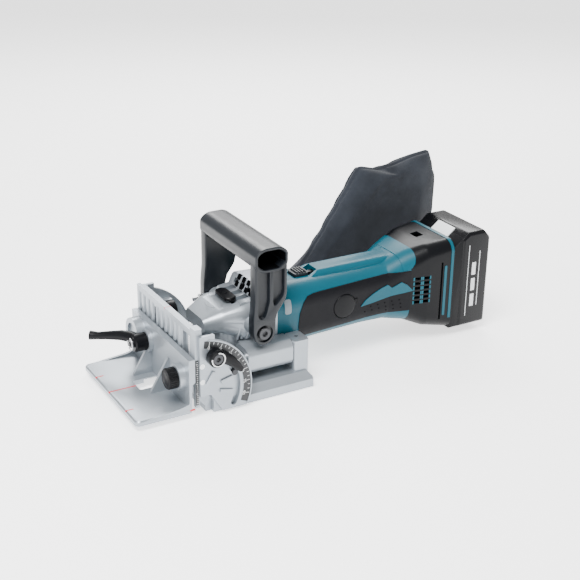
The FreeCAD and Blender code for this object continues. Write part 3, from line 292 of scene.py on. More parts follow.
def woven(name, shade, light):
    """Plain woven cloth: threads over and under each other, with a soft sheen and worn patches."""
    made = bpy.data.materials.new(name)
    made.use_nodes = True
    tree = made.node_tree
    shader = tree.nodes["Principled BSDF"]
    coordinates = tree.nodes.new("ShaderNodeTexCoord").outputs["Object"]
    axes = tree.nodes.new("ShaderNodeSeparateXYZ")
    tree.links.new(coordinates, axes.inputs[0])
    threads = [math_node(tree, "SINE", math_node(tree, "MULTIPLY", axes.outputs[axis], THREADS), 0.0)
               for axis in ("X", "Z")]
    weave = math_node(tree, "MULTIPLY", threads[0], threads[1])
    worn = noise(tree, coordinates, 30.0, 4.0, 0.6)
    fuzz = noise(tree, coordinates, 1400.0, 2.0, 0.6)
    height = math_node(tree, "ADD", math_node(tree, "MULTIPLY", weave, 0.5), fuzz)
    bump = tree.nodes.new("ShaderNodeBump")
    bump.inputs["Strength"].default_value = 0.7
    bump.inputs["Distance"].default_value = 0.00025
    tree.links.new(height, bump.inputs["Height"])
    tree.links.new(bump.outputs["Normal"], shader.inputs["Normal"])
    tone = remap(tree, math_node(tree, "ADD", worn, math_node(tree, "MULTIPLY", weave, 0.12)),
                 0.3, 0.7, 0.0, 1.0)
    tree.links.new(blend_colour(tree, tone, (*shade, 1), (*light, 1)), shader.inputs["Base Color"])
    tree.links.new(remap(tree, fuzz, 0.3, 0.7, 0.78, 0.95), shader.inputs["Roughness"])
    shader.inputs["Sheen Weight"].default_value = 0.08
    shader.inputs["Specular IOR Level"].default_value = 0.2
    return made


PAINT = {
    "cast_grey": moulded("cast_grey", (0.30, 0.33, 0.36), 0.34, 0.6, 1500.0, 0.00002, 0.04, 0.05),
    "teal_plastic": moulded("teal_plastic", (0.0004, 0.066, 0.096), 0.36, 0.0, 1800.0, 0.00001, 0.03,
                            0.04, shine=0.22),
    "black_plastic": moulded("black_plastic", (0.0022, 0.0025, 0.0034), 0.34, 0.0, 1600.0, 0.00002, 0.05,
                             shine=0.14),
    "grip_plastic": moulded("grip_plastic", (0.007, 0.009, 0.012), 0.33, 0.0, 1600.0, 0.00002, 0.04,
                            shine=0.3),
    "black_rubber": moulded("black_rubber", (0.0034, 0.0036, 0.0050), 0.5, 0.0, 1200.0, 0.00005, 0.06,
                            shine=0.12),
    "bag_cloth": woven("bag_cloth", (0.010, 0.012, 0.016), (0.022, 0.026, 0.034)),
    "steel": moulded("steel", (0.60, 0.61, 0.62), 0.28, 1.0, 900.0, 0.00001, 0.03),
    "dark_steel": moulded("dark_steel", (0.045, 0.046, 0.05), 0.42, 0.7, 1200.0, 0.00001, 0.05),
    "copper": moulded("copper", (0.55, 0.22, 0.09), 0.3, 1.0, 700.0, 0.00002, 0.08),
    "carbon": moulded("carbon", (0.03, 0.03, 0.032), 0.6, 0.0, 900.0, 0.00002, 0.05),
    "magnet": moulded("magnet", (0.08, 0.08, 0.085), 0.6, 0.2, 900.0, 0.00003, 0.08),
    "white_plastic": moulded("white_plastic", (0.84, 0.86, 0.86), 0.35, 0.0, 1500.0, 0.00001, 0.02),
    "scale_black": moulded("scale_black", (0.010, 0.011, 0.013), 0.4, 0.0, 1500.0, 0.00001, 0.03),
    "mark_white": moulded("mark_white", (0.62, 0.64, 0.65), 0.5, 0.0, 1500.0, 0.00001, 0.02),
    "mark_red": moulded("mark_red", (0.55, 0.004, 0.016), 0.5, 0.0, 1500.0, 0.00001, 0.03),
    # near-black painted shade, put in the grip's bore, over the neck's vent openings and on the dimples
    # in the rubber
    "painted_shade_black": moulded("painted_shade_black", (0.0012, 0.0014, 0.0018), 0.8, 0.0, 1500.0, 0.00001, 0.03,
                         shine=0.03),
    "engraved": moulded("engraved", (0.22, 0.24, 0.26), 0.5, 0.2, 1500.0, 0.00001, 0.03),
    "lamp_glass": moulded("lamp_glass", (0.17, 0.205, 0.225), 0.18, 0.0, 1500.0, 0.00001, 0.05,
                          shine=0.3),
    "gloss_black": moulded("gloss_black", (0.0018, 0.0020, 0.0028), 0.26, 0.0, 1500.0, 0.00001,
                           0.04, shine=0.2),
    "cell_sleeve": moulded("cell_sleeve", (0.03, 0.2, 0.4), 0.35, 0.0, 900.0, 0.00001, 0.04),
}


SLOTS = {part["node"]: part["material_slot"] for part in frame["record"]["subparts"]}
for name, thing in nodes.items():
    thing.data.materials.clear()
    thing.data.materials.append(PAINT[SLOTS[name]])


# Making tools ----------------------------------------------------------------------------
# New pieces are drawn in millimetres behind the base's front, to the right and up.

TO_FRAME = Matrix.Scale(MM, 4) @ Matrix.Translation((-SPINDLE, 0, 0))
MOTOR = "motor_unit"


def finished(name, shape, body, slot, paint=None, smooth=32.0):
    """A new piece in its place, riding on a body and painted."""
    bmesh.ops.transform(shape, matrix=TO_FRAME, verts=shape.verts)
    bmesh.ops.recalc_face_normals(shape, faces=shape.faces)
    mesh = bpy.data.meshes.new(name)
    shape.to_mesh(mesh)
    shape.free()
    mesh.materials.append(PAINT[paint or slot])
    mesh.shade_smooth()
    mesh.set_sharp_from_angle(angle=math.radians(smooth))
    piece = bpy.data.objects.new(name, mesh)
    bpy.context.scene.collection.objects.link(piece)
    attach(piece, body)
    return piece


def refined(node, width, steps=2, angle=30.0, cutter=None):
    """A machined or cast node again, its sharp edges broken, less what a cutter holds."""
    shape = bmesh.new()
    shape.from_mesh(nodes[node].data)
    bmesh.ops.remove_doubles(shape, verts=shape.verts, dist=0.000004)
    if cutter:
        bmesh.ops.transform(cutter, matrix=TO_FRAME, verts=cutter.verts)
        shape = crossed(shape, cutter, "DIFFERENCE")
    bmesh.ops.dissolve_limit(shape, angle_limit=math.radians(0.5), verts=shape.verts,
                             edges=shape.edges)
    mesh = bpy.data.meshes.new(node + "_finished")
    shape.to_mesh(mesh)
    shape.free()
    mesh.materials.append(PAINT[SLOTS[node]])
    mesh.shade_smooth()
    mesh.set_sharp_from_angle(angle=math.radians(angle))
    piece = bpy.data.objects.new(node + "_finished", mesh)
    bpy.context.scene.collection.objects.link(piece)
    edge = piece.modifiers.new("broken_edges", "BEVEL")
    edge.width = width * MM
    edge.segments = steps
    edge.limit_method = "ANGLE"
    edge.angle_limit = math.radians(angle)
    edge.harden_normals = True
    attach(piece, body_of(nodes[node])[0])
    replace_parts(piece, node)
    return piece


def slab(shape, points, across, low, high):
    """Adds a flat outline pulled through a thickness, across x, y or z."""
    spot = {"x": lambda a, b: (low, a, b), "y": lambda a, b: (a, low, b), "z": lambda a, b: (a, b, low)}
    face = shape.faces.new([shape.verts.new(spot[across](a, b)) for a, b in points])
    pulled = bmesh.ops.extrude_face_region(shape, geom=[face])
    moved = [item for item in pulled["geom"] if isinstance(item, bmesh.types.BMVert)]
    step = Vector([high - low if letter == across else 0.0 for letter in "xyz"])
    bmesh.ops.translate(shape, verts=moved, vec=step)
    bmesh.ops.recalc_face_normals(shape, faces=shape.faces)
    return moved


def soften(shape, width, steps=3, angle=25.0):
    """Rounds every edge that is sharper than an angle."""
    sharp = [edge for edge in shape.edges
             if edge.is_manifold and edge.calc_face_angle() > math.radians(angle)]
    bmesh.ops.bevel(shape, geom=sharp, offset=width, segments=steps, affect="EDGES", profile=0.5,
                    material=-1, clamp_overlap=True)


def drum(shape, radius, start, across, length, steps=48):
    """Adds a closed cylinder from a start point along x, y or z."""
    turn = {"x": Matrix.Rotation(math.pi / 2, 4, "Y"), "y": Matrix.Rotation(-math.pi / 2, 4, "X"),
            "z": Matrix.Identity(4)}[across]
    middle = Vector(start) + Vector([length / 2 if letter == across else 0.0 for letter in "xyz"])
    made = bmesh.ops.create_cone(shape, cap_ends=True, segments=steps, radius1=radius, radius2=radius,
                                 depth=abs(length), matrix=Matrix.Translation(middle) @ turn)
    return made["verts"]


def turned(shape, profile, centre, across, steps=64, sweep=360.0):
    """Adds a profile of distance along an axis and radius, spun about that axis."""
    axis = Vector([1.0 if letter == across else 0.0 for letter in "xyz"])
    out = Vector((0, 0, 1)) if across != "z" else Vector((1, 0, 0))
    corners = [shape.verts.new(Vector(centre) + axis * along + out * radius)
               for along, radius in profile]
    lines = [shape.edges.new(pair) for pair in zip(corners, corners[1:] + corners[:1])]
    if sweep == 360.0:
        bmesh.ops.spin(shape, geom=corners + lines, cent=centre, axis=axis, dvec=(0, 0, 0),
                       angle=math.radians(sweep), steps=steps, use_merge=True)
        return
    face = shape.faces.new(corners)
    bmesh.ops.spin(shape, geom=[face], cent=centre, axis=axis, dvec=(0, 0, 0),
                   angle=math.radians(sweep), steps=steps)


def loop_edges(verts):
    inside = set(verts)
    return [edge for edge in {edge for vert in verts for edge in vert.link_edges}
            if edge.verts[0] in inside and edge.verts[1] in inside]


def ring_across(shape, x, half, low, high, corner):
    """Adds a closed loop across the tool: a rectangle with rounded corners."""
    turn = Matrix.Rotation(math.pi / 2, 4, "Y") @ Matrix.Rotation(math.pi / 48, 4, "Z")
    made = bmesh.ops.create_circle(shape, segments=48, radius=corner, matrix=turn)["verts"]
    tall = (high - low) / 2
    for vert in made:
        vert.co += Vector((x, math.copysign(half - corner, vert.co.y),
                           (high + low) / 2 + math.copysign(tall - corner, vert.co.z)))
    return loop_edges(made)


def skin(stations, low, high):
    """A closed hollow shell over the rounded stations, between two depths from their surface."""
    shape = bmesh.new()
    walls = []
    for depth in (low, high):
        rings = [ring_across(shape, x, half + depth, bottom - depth, top + depth, corner + depth)
                 for x, half, bottom, top, corner in stations]
        for first, second in zip(rings, rings[1:]):
            bmesh.ops.bridge_loops(shape, edges=first + second)
        walls.append(rings)
    for end in (0, -1):
        bmesh.ops.bridge_loops(shape, edges=walls[0][end] + walls[1][end])
    bmesh.ops.recalc_face_normals(shape, faces=shape.faces)
    return shape


def crossed(shape, cutter, operation="INTERSECT"):
    """What two closed shapes share, or with DIFFERENCE what the second leaves of the first."""
    things = []
    for part in (shape, cutter):
        mesh = bpy.data.meshes.new("working")
        part.to_mesh(mesh)
        part.free()
        thing = bpy.data.objects.new("working", mesh)
        bpy.context.scene.collection.objects.link(thing)
        things.append(thing)
    cut = things[0].modifiers.new("cut", "BOOLEAN")
    cut.operation = operation
    cut.object = things[1]
    cut.solver = "EXACT"
    ready = things[0].evaluated_get(bpy.context.evaluated_depsgraph_get())
    result = bmesh.new()
    result.from_mesh(ready.to_mesh())
    ready.to_mesh_clear()
    for thing in things:
        mesh = thing.data
        bpy.data.objects.remove(thing)
        bpy.data.meshes.remove(mesh)
    return result


def rounded_box(low, high, radius, steps=5):
    """The outline of a rectangle with rounded corners."""
    points = []
    for corner, (x, z) in enumerate(((high[0], high[1]), (low[0], high[1]), (low[0], low[1]),
                                     (high[0], low[1]))):
        inward = (x - radius if x == high[0] else x + radius, z - radius if z == high[1] else z + radius)
        for step in range(steps + 1):
            turn = math.pi / 2 * (corner + step / steps)
            points.append((inward[0] + radius * math.cos(turn), inward[1] + radius * math.sin(turn)))
    return points


def skin_patches(name, stations, low, high, outlines, slot, paint=None, sides=(-1, 1),
                 reach=(14, 62)):
    """Patches that follow the housing's surface, drawn as outlines seen from the side."""
    cutter = bmesh.new()
    for side in sides:
        for outline in outlines:
            slab(cutter, outline, "y", *sorted((side * reach[0], side * reach[1])))
    return finished(name, crossed(skin(stations, low, high), cutter), MOTOR, slot, paint)


def swept(shape, path, sizes, level, steps=16):
    """Adds a rounded bar through points, each with a half width and a half height."""
    level = Vector(level)
    rings = []
    for number, (point, (wide, tall)) in enumerate(zip(path, sizes)):
        before = Vector(path[max(number - 1, 0)])
        after = Vector(path[min(number + 1, len(path) - 1)])
        along = (after - before).normalized()
        side = along.cross(level).normalized()
        turn = Matrix((side, level, along)).transposed().to_4x4()
        made = bmesh.ops.create_circle(
            shape, segments=steps, radius=1.0,
            matrix=Matrix.Translation(point) @ turn @ Matrix.Diagonal((wide, tall, 1.0, 1.0)))
        rings.append(made["verts"])
    for first, second in zip(rings, rings[1:]):
        bmesh.ops.bridge_loops(shape, edges=loop_edges(first) + loop_edges(second))
    for end in (rings[0], rings[-1]):
        bmesh.ops.contextual_create(shape, geom=end)


# Edges broken on the machined and cast nodes ----------------------------------------------

BROKEN_EDGES = {"base_housing": 0.7, "fence_body": 0.5, "guide_plate": 0.4,
                "quadrant_left": 0.4, "quadrant_right": 0.4, "rear_flange": 0.5,
                "motor_housing_left": 0.4, "motor_housing_right": 0.4, "guide_lock_screw": 0.2,
                "fence_clamp_screw": 0.2, "grip_bolts": 0.5, "switch_slider": 0.4,
                "fence_knob": 0.25, "bag_collar": 0.5, "dust_nozzle": 0.3, "battery_button": 0.8,
                "bottom_cover": 0.2, "guide_studs": 0.3}
for node, width in BROKEN_EDGES.items():
    refined(node, width)


# The front grip --------------------------------------------------------------------------

GRIP_BAR = (79.0, 138.0)
GRIP_HALF = 58.0
BAR_HALF_WIDTH = 17.2
BAR_HALF_HEIGHT = 12.0
BAR_STRETCH = 1.43
BAR_SQUARENESS = 0.10
BORE_DEPTH = 38.0
LEG_INSIDE = 46.6
CHANNEL_FLOOR = 52.6
CHANNEL_FRONT = [(65.0, 127), (65.0, 84), (66.6, 80.5), (69.4, 79.2), (72.2, 80.5), (74.4, 85),
                 (77.2, 96), (77.2, 127)]
CHANNEL_REAR = [(80.8, 127), (80.8, 96), (81.6, 91.5), (84, 91), (88.4, 95.4), (91.6, 99.5),
                (92.8, 104), (92.8, 127)]
LEG_OUTLINE = [(62.0, 139), (62.0, 98), (61.0, 88), (60.2, 78), (60.1, 65), (62.2, 58), (67, 53.6),
               (72.1, 52.4), (77.2, 53.6), (82, 58), (84.1, 65), (84.3, 77), (86.5, 84), (91, 90),
               (94.6, 95.5), (96.0, 102), (96.0, 139)]
BOLT = (72.1, 64.4)
BOSS_CUP = 8.7


def grip_bar():
    """A bar with a squarish oval section, a thin raised lip at each end and a bore whose deeper faces
    are painted near-black as painted shade.
    """
    shape = bmesh.new()
    bar = drum(shape, BAR_HALF_HEIGHT, (GRIP_BAR[0], -GRIP_HALF, GRIP_BAR[1]), "y", 2 * GRIP_HALF, 64)
    for vert in bar:
        along, up = vert.co.x - GRIP_BAR[0], vert.co.z - GRIP_BAR[1]
        reach = math.hypot(along, up)
        square = 1.0 + BAR_SQUARENESS * abs(math.sin(2 * math.atan2(up, along)))
        wide = along / reach * BAR_HALF_HEIGHT * BAR_STRETCH
        tall = up / reach * BAR_HALF_HEIGHT
        vert.co.x = GRIP_BAR[0] + wide * min(square, BAR_HALF_WIDTH / (abs(wide) + 1e-6))
        vert.co.z = GRIP_BAR[1] + tall * min(square, reach / (abs(up) + 1e-6))
    ends = [face for face in shape.faces if len(face.verts) == 64]
    for thickness, depth in ((0.7, 0.6), (1.6, 0.0), (0.5, -1.0), (0.01, 0.0)):
        bmesh.ops.inset_region(shape, faces=ends, thickness=thickness, depth=depth)
    for face in ends:
        inward = math.copysign(BORE_DEPTH, -face.calc_center_median().y)
        bmesh.ops.translate(shape, verts=face.verts, vec=(0, inward, 0))
    bar_piece = finished("grip_bar", shape, MOTOR, "grip_plastic")
    # the bore's faces deeper than 1.5 mm get the near-black painted shade
    bar_piece.data.materials.append(PAINT["painted_shade_black"])
    for face in bar_piece.data.polygons:
        depth = GRIP_HALF - abs(face.center.y) / MM
        reach = math.hypot(face.center.x / MM + SPINDLE - GRIP_BAR[0],
                           (face.center.z / MM - GRIP_BAR[1]) * 1.3)
        if depth > 1.5 and reach < 15.2:
            face.material_index = 1


def grip_legs():
    """Two legs with two channels each, a cupped boss for the bolt and an opening for the bore."""
    legs = bmesh.new()
    holes = bmesh.new()
    for side in (-1, 1):
        slab(legs, LEG_OUTLINE, "y", *sorted((side * LEG_INSIDE, side * (GRIP_HALF - 0.2))))
        near, far = sorted((side * CHANNEL_FLOOR, side * (GRIP_HALF + 4)))
        for outline in (CHANNEL_FRONT, CHANNEL_REAR):
            slab(holes, outline, "y", near, far)
        drum(holes, BOSS_CUP, (BOLT[0], near + (2.4 if side > 0 else 0), BOLT[1]), "y",
             far - near - 2.4, 48)
        for vert in drum(holes, 10.3, (GRIP_BAR[0], side * 53 - 9, GRIP_BAR[1]), "y", 18, 64):
            vert.co.x = GRIP_BAR[0] + 1.5 * (vert.co.x - GRIP_BAR[0])
    soften(legs, 1.6, 3, 40.0)
    legs = crossed(legs, holes, "DIFFERENCE")
    soften(legs, 0.45, 2, 50.0)
    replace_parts(finished("grip_legs", legs, MOTOR, "grip_plastic"), "front_grip")


grip_bar()
grip_legs()


# The gear housing's small details --------------------------------------------------------

LOCK_X = 60.0
# the neck's sloping face: where it starts on the hood, and where it ends at the top
NECK_FOOT = (76.0, 86.0)
NECK_TOP = (82.5, 100.0)
# vents: shares of the way up that face, places across the tool, and the size of one
VENT_ROWS = (0.06, 0.54)
VENT_COLUMNS = (-22.0, -12.4, -2.8, 6.8)
VENT_WIDTH = 6.4
VENT_RISE = 0.35
VENT_BACK = -3
VENT_PROUD = 0.15
ARROW_CENTRE = (50, -4, 80.3)


def neck_face(share, out):
    """A point on the neck's face, a share of the way up it and a distance out of it."""
    rise = Vector((NECK_TOP[0] - NECK_FOOT[0], 0, NECK_TOP[1] - NECK_FOOT[1]))
    lean = Vector((-rise.z, 0, rise.x)).normalized()
    spot = Vector((NECK_FOOT[0], 0, NECK_FOOT[1])) + rise * share + lean * out
    return spot.x, spot.z


def gear_housing_details():
    """The cast head with its neck behind the button, the neck's vents drawn as dark blocks of painted
    shade, fins and turning arrow.
    """
    cutter = bmesh.new()
    slab(cutter, [(52, 81.4), (60, 83.3), (66, 84.7), NECK_FOOT, NECK_TOP, (84.5, 110), (52, 110)],
         "y", -30, 30)
    refined("gear_housing", 0.5, cutter=cutter)
    vents = bmesh.new()
    # the vents are near-black blocks standing just proud of the neck's face: painted shade where the
    # openings are
    for share in VENT_ROWS:
        outline = [neck_face(share, VENT_BACK), neck_face(share + VENT_RISE, VENT_BACK),
                   neck_face(share + VENT_RISE, VENT_PROUD), neck_face(share, VENT_PROUD)]
        for column in VENT_COLUMNS:
            slab(vents, outline, "y", column, column + VENT_WIDTH)
    finished("neck_vent_painted_shade", vents, MOTOR, "black_plastic", "painted_shade_black")
    fins = bmesh.new()
    for side in (-1, 1):
        for fin in range(5):
            x = 55.5 + 4.6 * fin
            outside = 33.4 if fin > 1 else 31.6
            slab(fins, [(x, 50.0), (x + 2.2, 50.0), (x + 6.6, 66.0), (x + 4.4, 66.0)], "y",
                 *sorted((side * 28.0, side * outside)))
    soften(fins, 0.6, 2)
    finished("housing_fins", fins, MOTOR, "cast_grey")
    arrow = bmesh.new()
    turned(arrow, [(-0.12, 12.0), (-0.12, 13.0), (0.12, 13.0), (0.12, 12.0)], ARROW_CENTRE, "z", 24, 80)
    bmesh.ops.rotate(arrow, cent=ARROW_CENTRE, matrix=Matrix.Rotation(math.radians(150), 3, "Z"),
                     verts=arrow.verts)
    finished("turning_arrow", arrow, MOTOR, "cast_grey", "engraved")


def lock_button():
    """A low oval cap in its recess, with a round head in the middle and the pin below."""
    shape = bmesh.new()
    turned(shape, [(84.5, 0.02), (84.5, 6.4), (86.2, 6.4), (87.0, 5.6), (87.0, 0.02)],
           (LOCK_X, 0, 0), "z")
    for vert in shape.verts:
        vert.co.y += math.copysign(8.0, vert.co.y) if abs(vert.co.y) > 0.001 else 0.0
    turned(shape, [(86.9, 0.02), (86.9, 2.4), (87.7, 2.1), (87.7, 0.02)], (LOCK_X, 0, 0), "z", 32)
    drum(shape, 2.0, (61, -12, 61.2), "z", 23.6, 24)
    cap = finished("lock_button_cap", shape, "shaft_lock", "black_plastic")
    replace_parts(cap, "shaft_lock_button")


gear_housing_details()
lock_button()


# Levers, knobs and rings -----------------------------------------------------------------

GUIDE_HUB = (12.57, 0, 61.07)
FENCE_HUB = (0, 24, 42.5)


def guide_lever():
    """The near cam lever: a round hub with a tapering arm, and its ring."""
    shape = bmesh.new()
    turned(shape, [(-79.6, 3.2), (-79.6, 7.2), (-78.4, 8.6), (-71.6, 8.6), (-71.6, 3.2)], GUIDE_HUB, "y")
    swept(shape, [(13, -75.2, 63.4), (20, -75.4, 60.6), (28, -75.2, 54.2), (34.4, -75, 47.6),
                  (38.6, -74.8, 43)],
          [(5.6, 3.6), (6.0, 3.4), (5.0, 3.1), (3.9, 2.8), (2.6, 2.2)], (0, 1, 0))
    lever = finished("guide_lever", shape, "guide_lock_lever", "black_plastic")
    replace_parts(lever, "guide_lock_lever")
    clip = bmesh.new()
    turned(clip, [(-80.5, 5.9), (-80.5, 7.0), (-79.5, 7.0), (-79.5, 5.9)], GUIDE_HUB, "y", 40, 285)
    soften(clip, 0.25, 2, 60.0)
    finished("guide_lever_clip", clip, "guide_lock_lever", "steel")


def fence_lever():
    """The far cam lever on the fence, whose arm ends in a flared tip, and its ring."""
    shape = bmesh.new()
    turned(shape, [(-28.0, 3.2), (-28.0, 7.4), (-26.8, 9.0), (-15.4, 9.0), (-15.4, 3.2)], FENCE_HUB, "x")
    swept(shape, [(-22, 25, 44.5), (-26, 33, 45.5), (-33, 41.5, 45.2), (-43, 50.5, 43.6),
                  (-51, 57.5, 42.0), (-57, 62.6, 41.8)],
          [(6.4, 5.2), (6.4, 5.4), (5.6, 5.0), (4.6, 4.2), (4.2, 3.8), (4.8, 4.6)], (0, 0, 1))
    lever = finished("fence_lever", shape, "fence_clamp_lever", "black_plastic")
    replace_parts(lever, "fence_clamp_lever")
    clip = bmesh.new()
    turned(clip, [(-31.4, 5.6), (-31.4, 6.8), (-30.4, 6.8), (-30.4, 5.6)], FENCE_HUB, "x", 40, 285)
    soften(clip, 0.25, 2, 60.0)
    finished("fence_lever_clip", clip, "fence_clamp_lever", "steel")


def knob_cap():
    shape = bmesh.new()
    turned(shape, [(-27.2, 0.02), (-27.0, 5.0), (-26.5, 7.0), (-25.4, 7.6), (-25.4, 0.02)],
           (0, -48.6, 36.7), "x")
    finished("knob_cap", shape, "fence_knob", "black_plastic")


guide_lever()
fence_lever()
knob_cap()


# Scales and marks ------------------------------------------------------------------------

PIVOT = (-2.0, 25.0)
# degrees from level, of the scale's zero, and the faces that carry the marks
SCALE_ZERO = 78
SCALE_FACE = -69.92
TICK_END = 51.8
DIGIT_RING = 45.9
HEIGHT_FACE = -66.43


def box(shape, size, matrix):
    """Adds a block of a given size, in the place and turn that a matrix gives."""
    bmesh.ops.create_cube(shape, size=1.0, matrix=matrix @ Matrix.Diagonal((*size, 1.0)))


def digits(number):
    """A number as thin flat letters about the origin."""
    words = bpy.data.curves.new("degree_number", "FONT")
    words.body = str(number)
    words.size = 4.4
    words.align_x = "CENTER"
    words.align_y = "CENTER"
    words.extrude = 0.03
    holder = bpy.data.objects.new("degree_number", words)
    bpy.context.scene.collection.objects.link(holder)
    mesh = bpy.data.meshes.new_from_object(
        holder.evaluated_get(bpy.context.evaluated_depsgraph_get()))
    shape = bmesh.new()
    shape.from_mesh(mesh)
    bpy.data.objects.remove(holder)
    bpy.data.curves.remove(words)
    bpy.data.meshes.remove(mesh)
    return shape


def angle_scale():
    """White ticks and numbers of degrees on the dark arc."""
    shape = bmesh.new()
    for step in range(19):
        turn = math.radians(SCALE_ZERO - 5 * step)
        inner = 47.6 if step % 3 == 0 else 49.6
        box(shape, (TICK_END - inner, 0.1, 0.42), Matrix.Translation((PIVOT[0], SCALE_FACE, PIVOT[1]))
            @ Matrix.Rotation(-turn, 4, "Y") @ Matrix.Translation(((inner + TICK_END) / 2, 0, 0)))
    finished("angle_ticks", shape, "guide", "white_plastic", "mark_white")
    for step in range(7):
        turn = math.radians(SCALE_ZERO - 15 * step)
        number = digits(15 * step)
        spot = (PIVOT[0] + DIGIT_RING * math.cos(turn), SCALE_FACE - 0.01,
                PIVOT[1] + DIGIT_RING * math.sin(turn))
        bmesh.ops.transform(number, verts=number.verts, matrix=(
            Matrix.Translation(spot) @ Matrix.Rotation(math.pi / 2 - turn, 4, "Y")
            @ Matrix.Rotation(math.pi / 2, 4, "X")))
        finished("degrees_" + str(15 * step), number, "guide", "white_plastic", "mark_white")


def height_scale():
    """White ticks up the edge of the guide, every fifth one longer."""
    shape = bmesh.new()
    for step in range(22):
        long = 2.0 if step % 5 == 0 else 1.2
        box(shape, (long, 0.08, 0.4), Matrix.Translation((-1.9 - long / 2, HEIGHT_FACE, 14 + 2 * step)))
    finished("height_ticks", shape, "guide", "white_plastic", "mark_white")


def red_marks():
    """Red centre and edge lines on the fence, and one on top of the guide."""
    shape = bmesh.new()
    for low, high in (((-64.1, -0.8, 9.0), (-36.2, 0.8, 10.06)),
                      ((-64.1, 33.2, 9.0), (-56, 34.8, 10.06)),
                      ((-64.1, -41.8, 9.0), (-56, -40.2, 10.06)),
                      ((-10.4, -66.07, 7.3), (-5.2, -65, 8.8))):
        middle = [(a + b) / 2 for a, b in zip(low, high)]
        box(shape, [b - a for a, b in zip(low, high)], Matrix.Translation(middle))
    finished("fence_red_marks", shape, "fence", "cast_grey", "mark_red")
    top = bmesh.new()
    box(top, (6.3, 0.9, 2.1), Matrix.Translation((-1.2, 0, 84.0)))
    finished("guide_red_mark", top, "guide", "cast_grey", "mark_red")


def quadrant_ribs():
    """Three short ribs on the near quadrant, and the thin rim round its dark arc."""
    shape = bmesh.new()
    for angle, inner, outer in ((58, 6, 20), (14, 18, 30.5), (-14, 17, 30.5)):
        box(shape, (outer - inner, 1.8, 3.8), Matrix.Translation((PIVOT[0] + 4, -70.35, PIVOT[1] + 3))
            @ Matrix.Rotation(-math.radians(angle), 4, "Y")
            @ Matrix.Translation(((inner + outer) / 2, 0, 0)))
    soften(shape, 0.5, 2)
    finished("quadrant_ribs", shape, "guide", "cast_grey")
    rim = bmesh.new()
    centre = (PIVOT[0], 0, PIVOT[1])
    turned(rim, [(-70.3, 52.6), (-70.3, 53.8), (-69.3, 53.8), (-69.3, 52.6)], centre, "y", 48, 104)
    bmesh.ops.rotate(rim, cent=centre, verts=rim.verts, matrix=Matrix.Rotation(math.radians(10), 3, "Y"))
    finished("quadrant_rim", rim, "guide", "cast_grey")


angle_scale()
height_scale()
red_marks()
quadrant_ribs()


# Trim on the motor housing and flange ----------------------------------------------------

HOUSING = [(99, 34, 27, 92, 22), (112, 34, 27, 92, 22), (150, 31.5, 28, 91, 21),
           (205, 29.5, 29, 90, 20), (232, 30, 28.5, 90.5, 20), (256, 33.5, 24, 101, 18)]
FLANGE = [(256, 33.5, 24, 101, 18), (276, 37.5, 16, 107, 14), (306, 40, 10, 110, 12)]
ACROSS = (-62, 62)
TEAL = "teal_plastic"
FLASH = [(197.5, 55.0), (203, 60.5), (212, 66), (221, 70), (229.5, 72.6), (234.6, 68.4),
         (245.4, 73.0), (252, 69), (258.5, 62.0), (249, 60.8), (238.5, 60.2), (226, 58.6),
         (212, 56.4)]
TONGUE = [(247, 84.6), (253, 85), (257, 87), (260, 91), (261.6, 96), (262.2, 101), (262.2, 112),
          (247, 112)]
# rows of dimples: height, first one's place, and how many
DIMPLE_ROWS = ((48.0, 203, 7), (52.4, 210, 6), (43.6, 212, 5))
BRUSH = (177.6, 0, 60)


def rectangle(front, back, low, high):
    """An upright rectangle seen from the side."""
    return [(front, low), (back, low), (back, high), (front, high)]


def housing_trim():
    """Teal trim, the lamp, tabs beside the vents, and dimples in the rubber drawn as near-black discs of
    painted shade.
    """
    skin_patches("grip_flash", HOUSING + FLANGE[1:2], 0.2, 1.3, [FLASH], TEAL)
    skin_patches("lamp_frame", HOUSING, -0.4, 0.3, [rounded_box((105.9, 65.4), (115.9, 82.6), 3.2)],
                 TEAL)
    skin_patches("lamp_window", HOUSING, -0.4, 0.6, [rounded_box((107.2, 66.7), (114.6, 81.3), 2.4)],
                 "white_plastic", "lamp_glass")
    tabs = []
    for column in (260.5, 270.5):
        for row in range(6):
            low = 46.5 + 5.2 * row
            tabs += [rectangle(column - 1.7, column, low - 0.5, low + 3.3),
                     rectangle(column + 6.5, column + 8.0, low - 0.5, low + 3.3)]
    skin_patches("vent_tabs", FLANGE, -0.4, 0.3, tabs, TEAL, reach=(20, 62))
    skin_patches("flange_stripe", FLANGE, -0.4, 0.45, [rounded_box((294.4, 28), (297.2, 84), 1.2)],
                 TEAL, reach=(30, 62))
    skin_patches("flange_edge", FLANGE, -0.4, 0.5, [rectangle(301.6, 304.6, 24, 112)], TEAL,
                 sides=(1,), reach=ACROSS)
    skin_patches("flange_tongue", HOUSING + FLANGE[1:], -0.4, 0.7, [TONGUE], TEAL, sides=(1,),
                 reach=ACROSS)
    # each dimple is a small near-black disc just proud of the rubber: painted shade where the recess is
    dimples = bmesh.new()
    for side in (-1, 1):
        for height, first, count in DIMPLE_ROWS:
            for step in range(count):
                x = first + 8.4 * step
                drum(dimples, 0.8, (x, side * 31.4 - 1.4, height + 0.03 * (x - 200)), "y", 2.8, 10)
    spots = crossed(dimples, skin(HOUSING + FLANGE[1:2], -0.5, 0.62))
    finished("grip_dimples", spots, MOTOR, "black_rubber", "painted_shade_black")


def brush_covers():
    """A plain round cover over each brush, with two small ribs behind it."""
    shape = bmesh.new()
    for side in (-1, 1):
        profile = [(27.6, 0.02), (31.9, 0.02), (31.9, 10.6), (31.4, 12.2), (30.4, 12.8), (27.6, 12.8)]
        turned(shape, [(side * along, radius) for along, radius in profile], BRUSH, "y")
        for x, wide in ((190.8, 2.0), (193.0, 1.2)):
            box(shape, (wide, 2.2, 6.4), Matrix.Translation((x, side * 30.3, 62)))
    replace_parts(finished("brush_covers", shape, MOTOR, "black_plastic"), "brush_caps")


housing_trim()
brush_covers()


# The battery -----------------------------------------------------------------------------

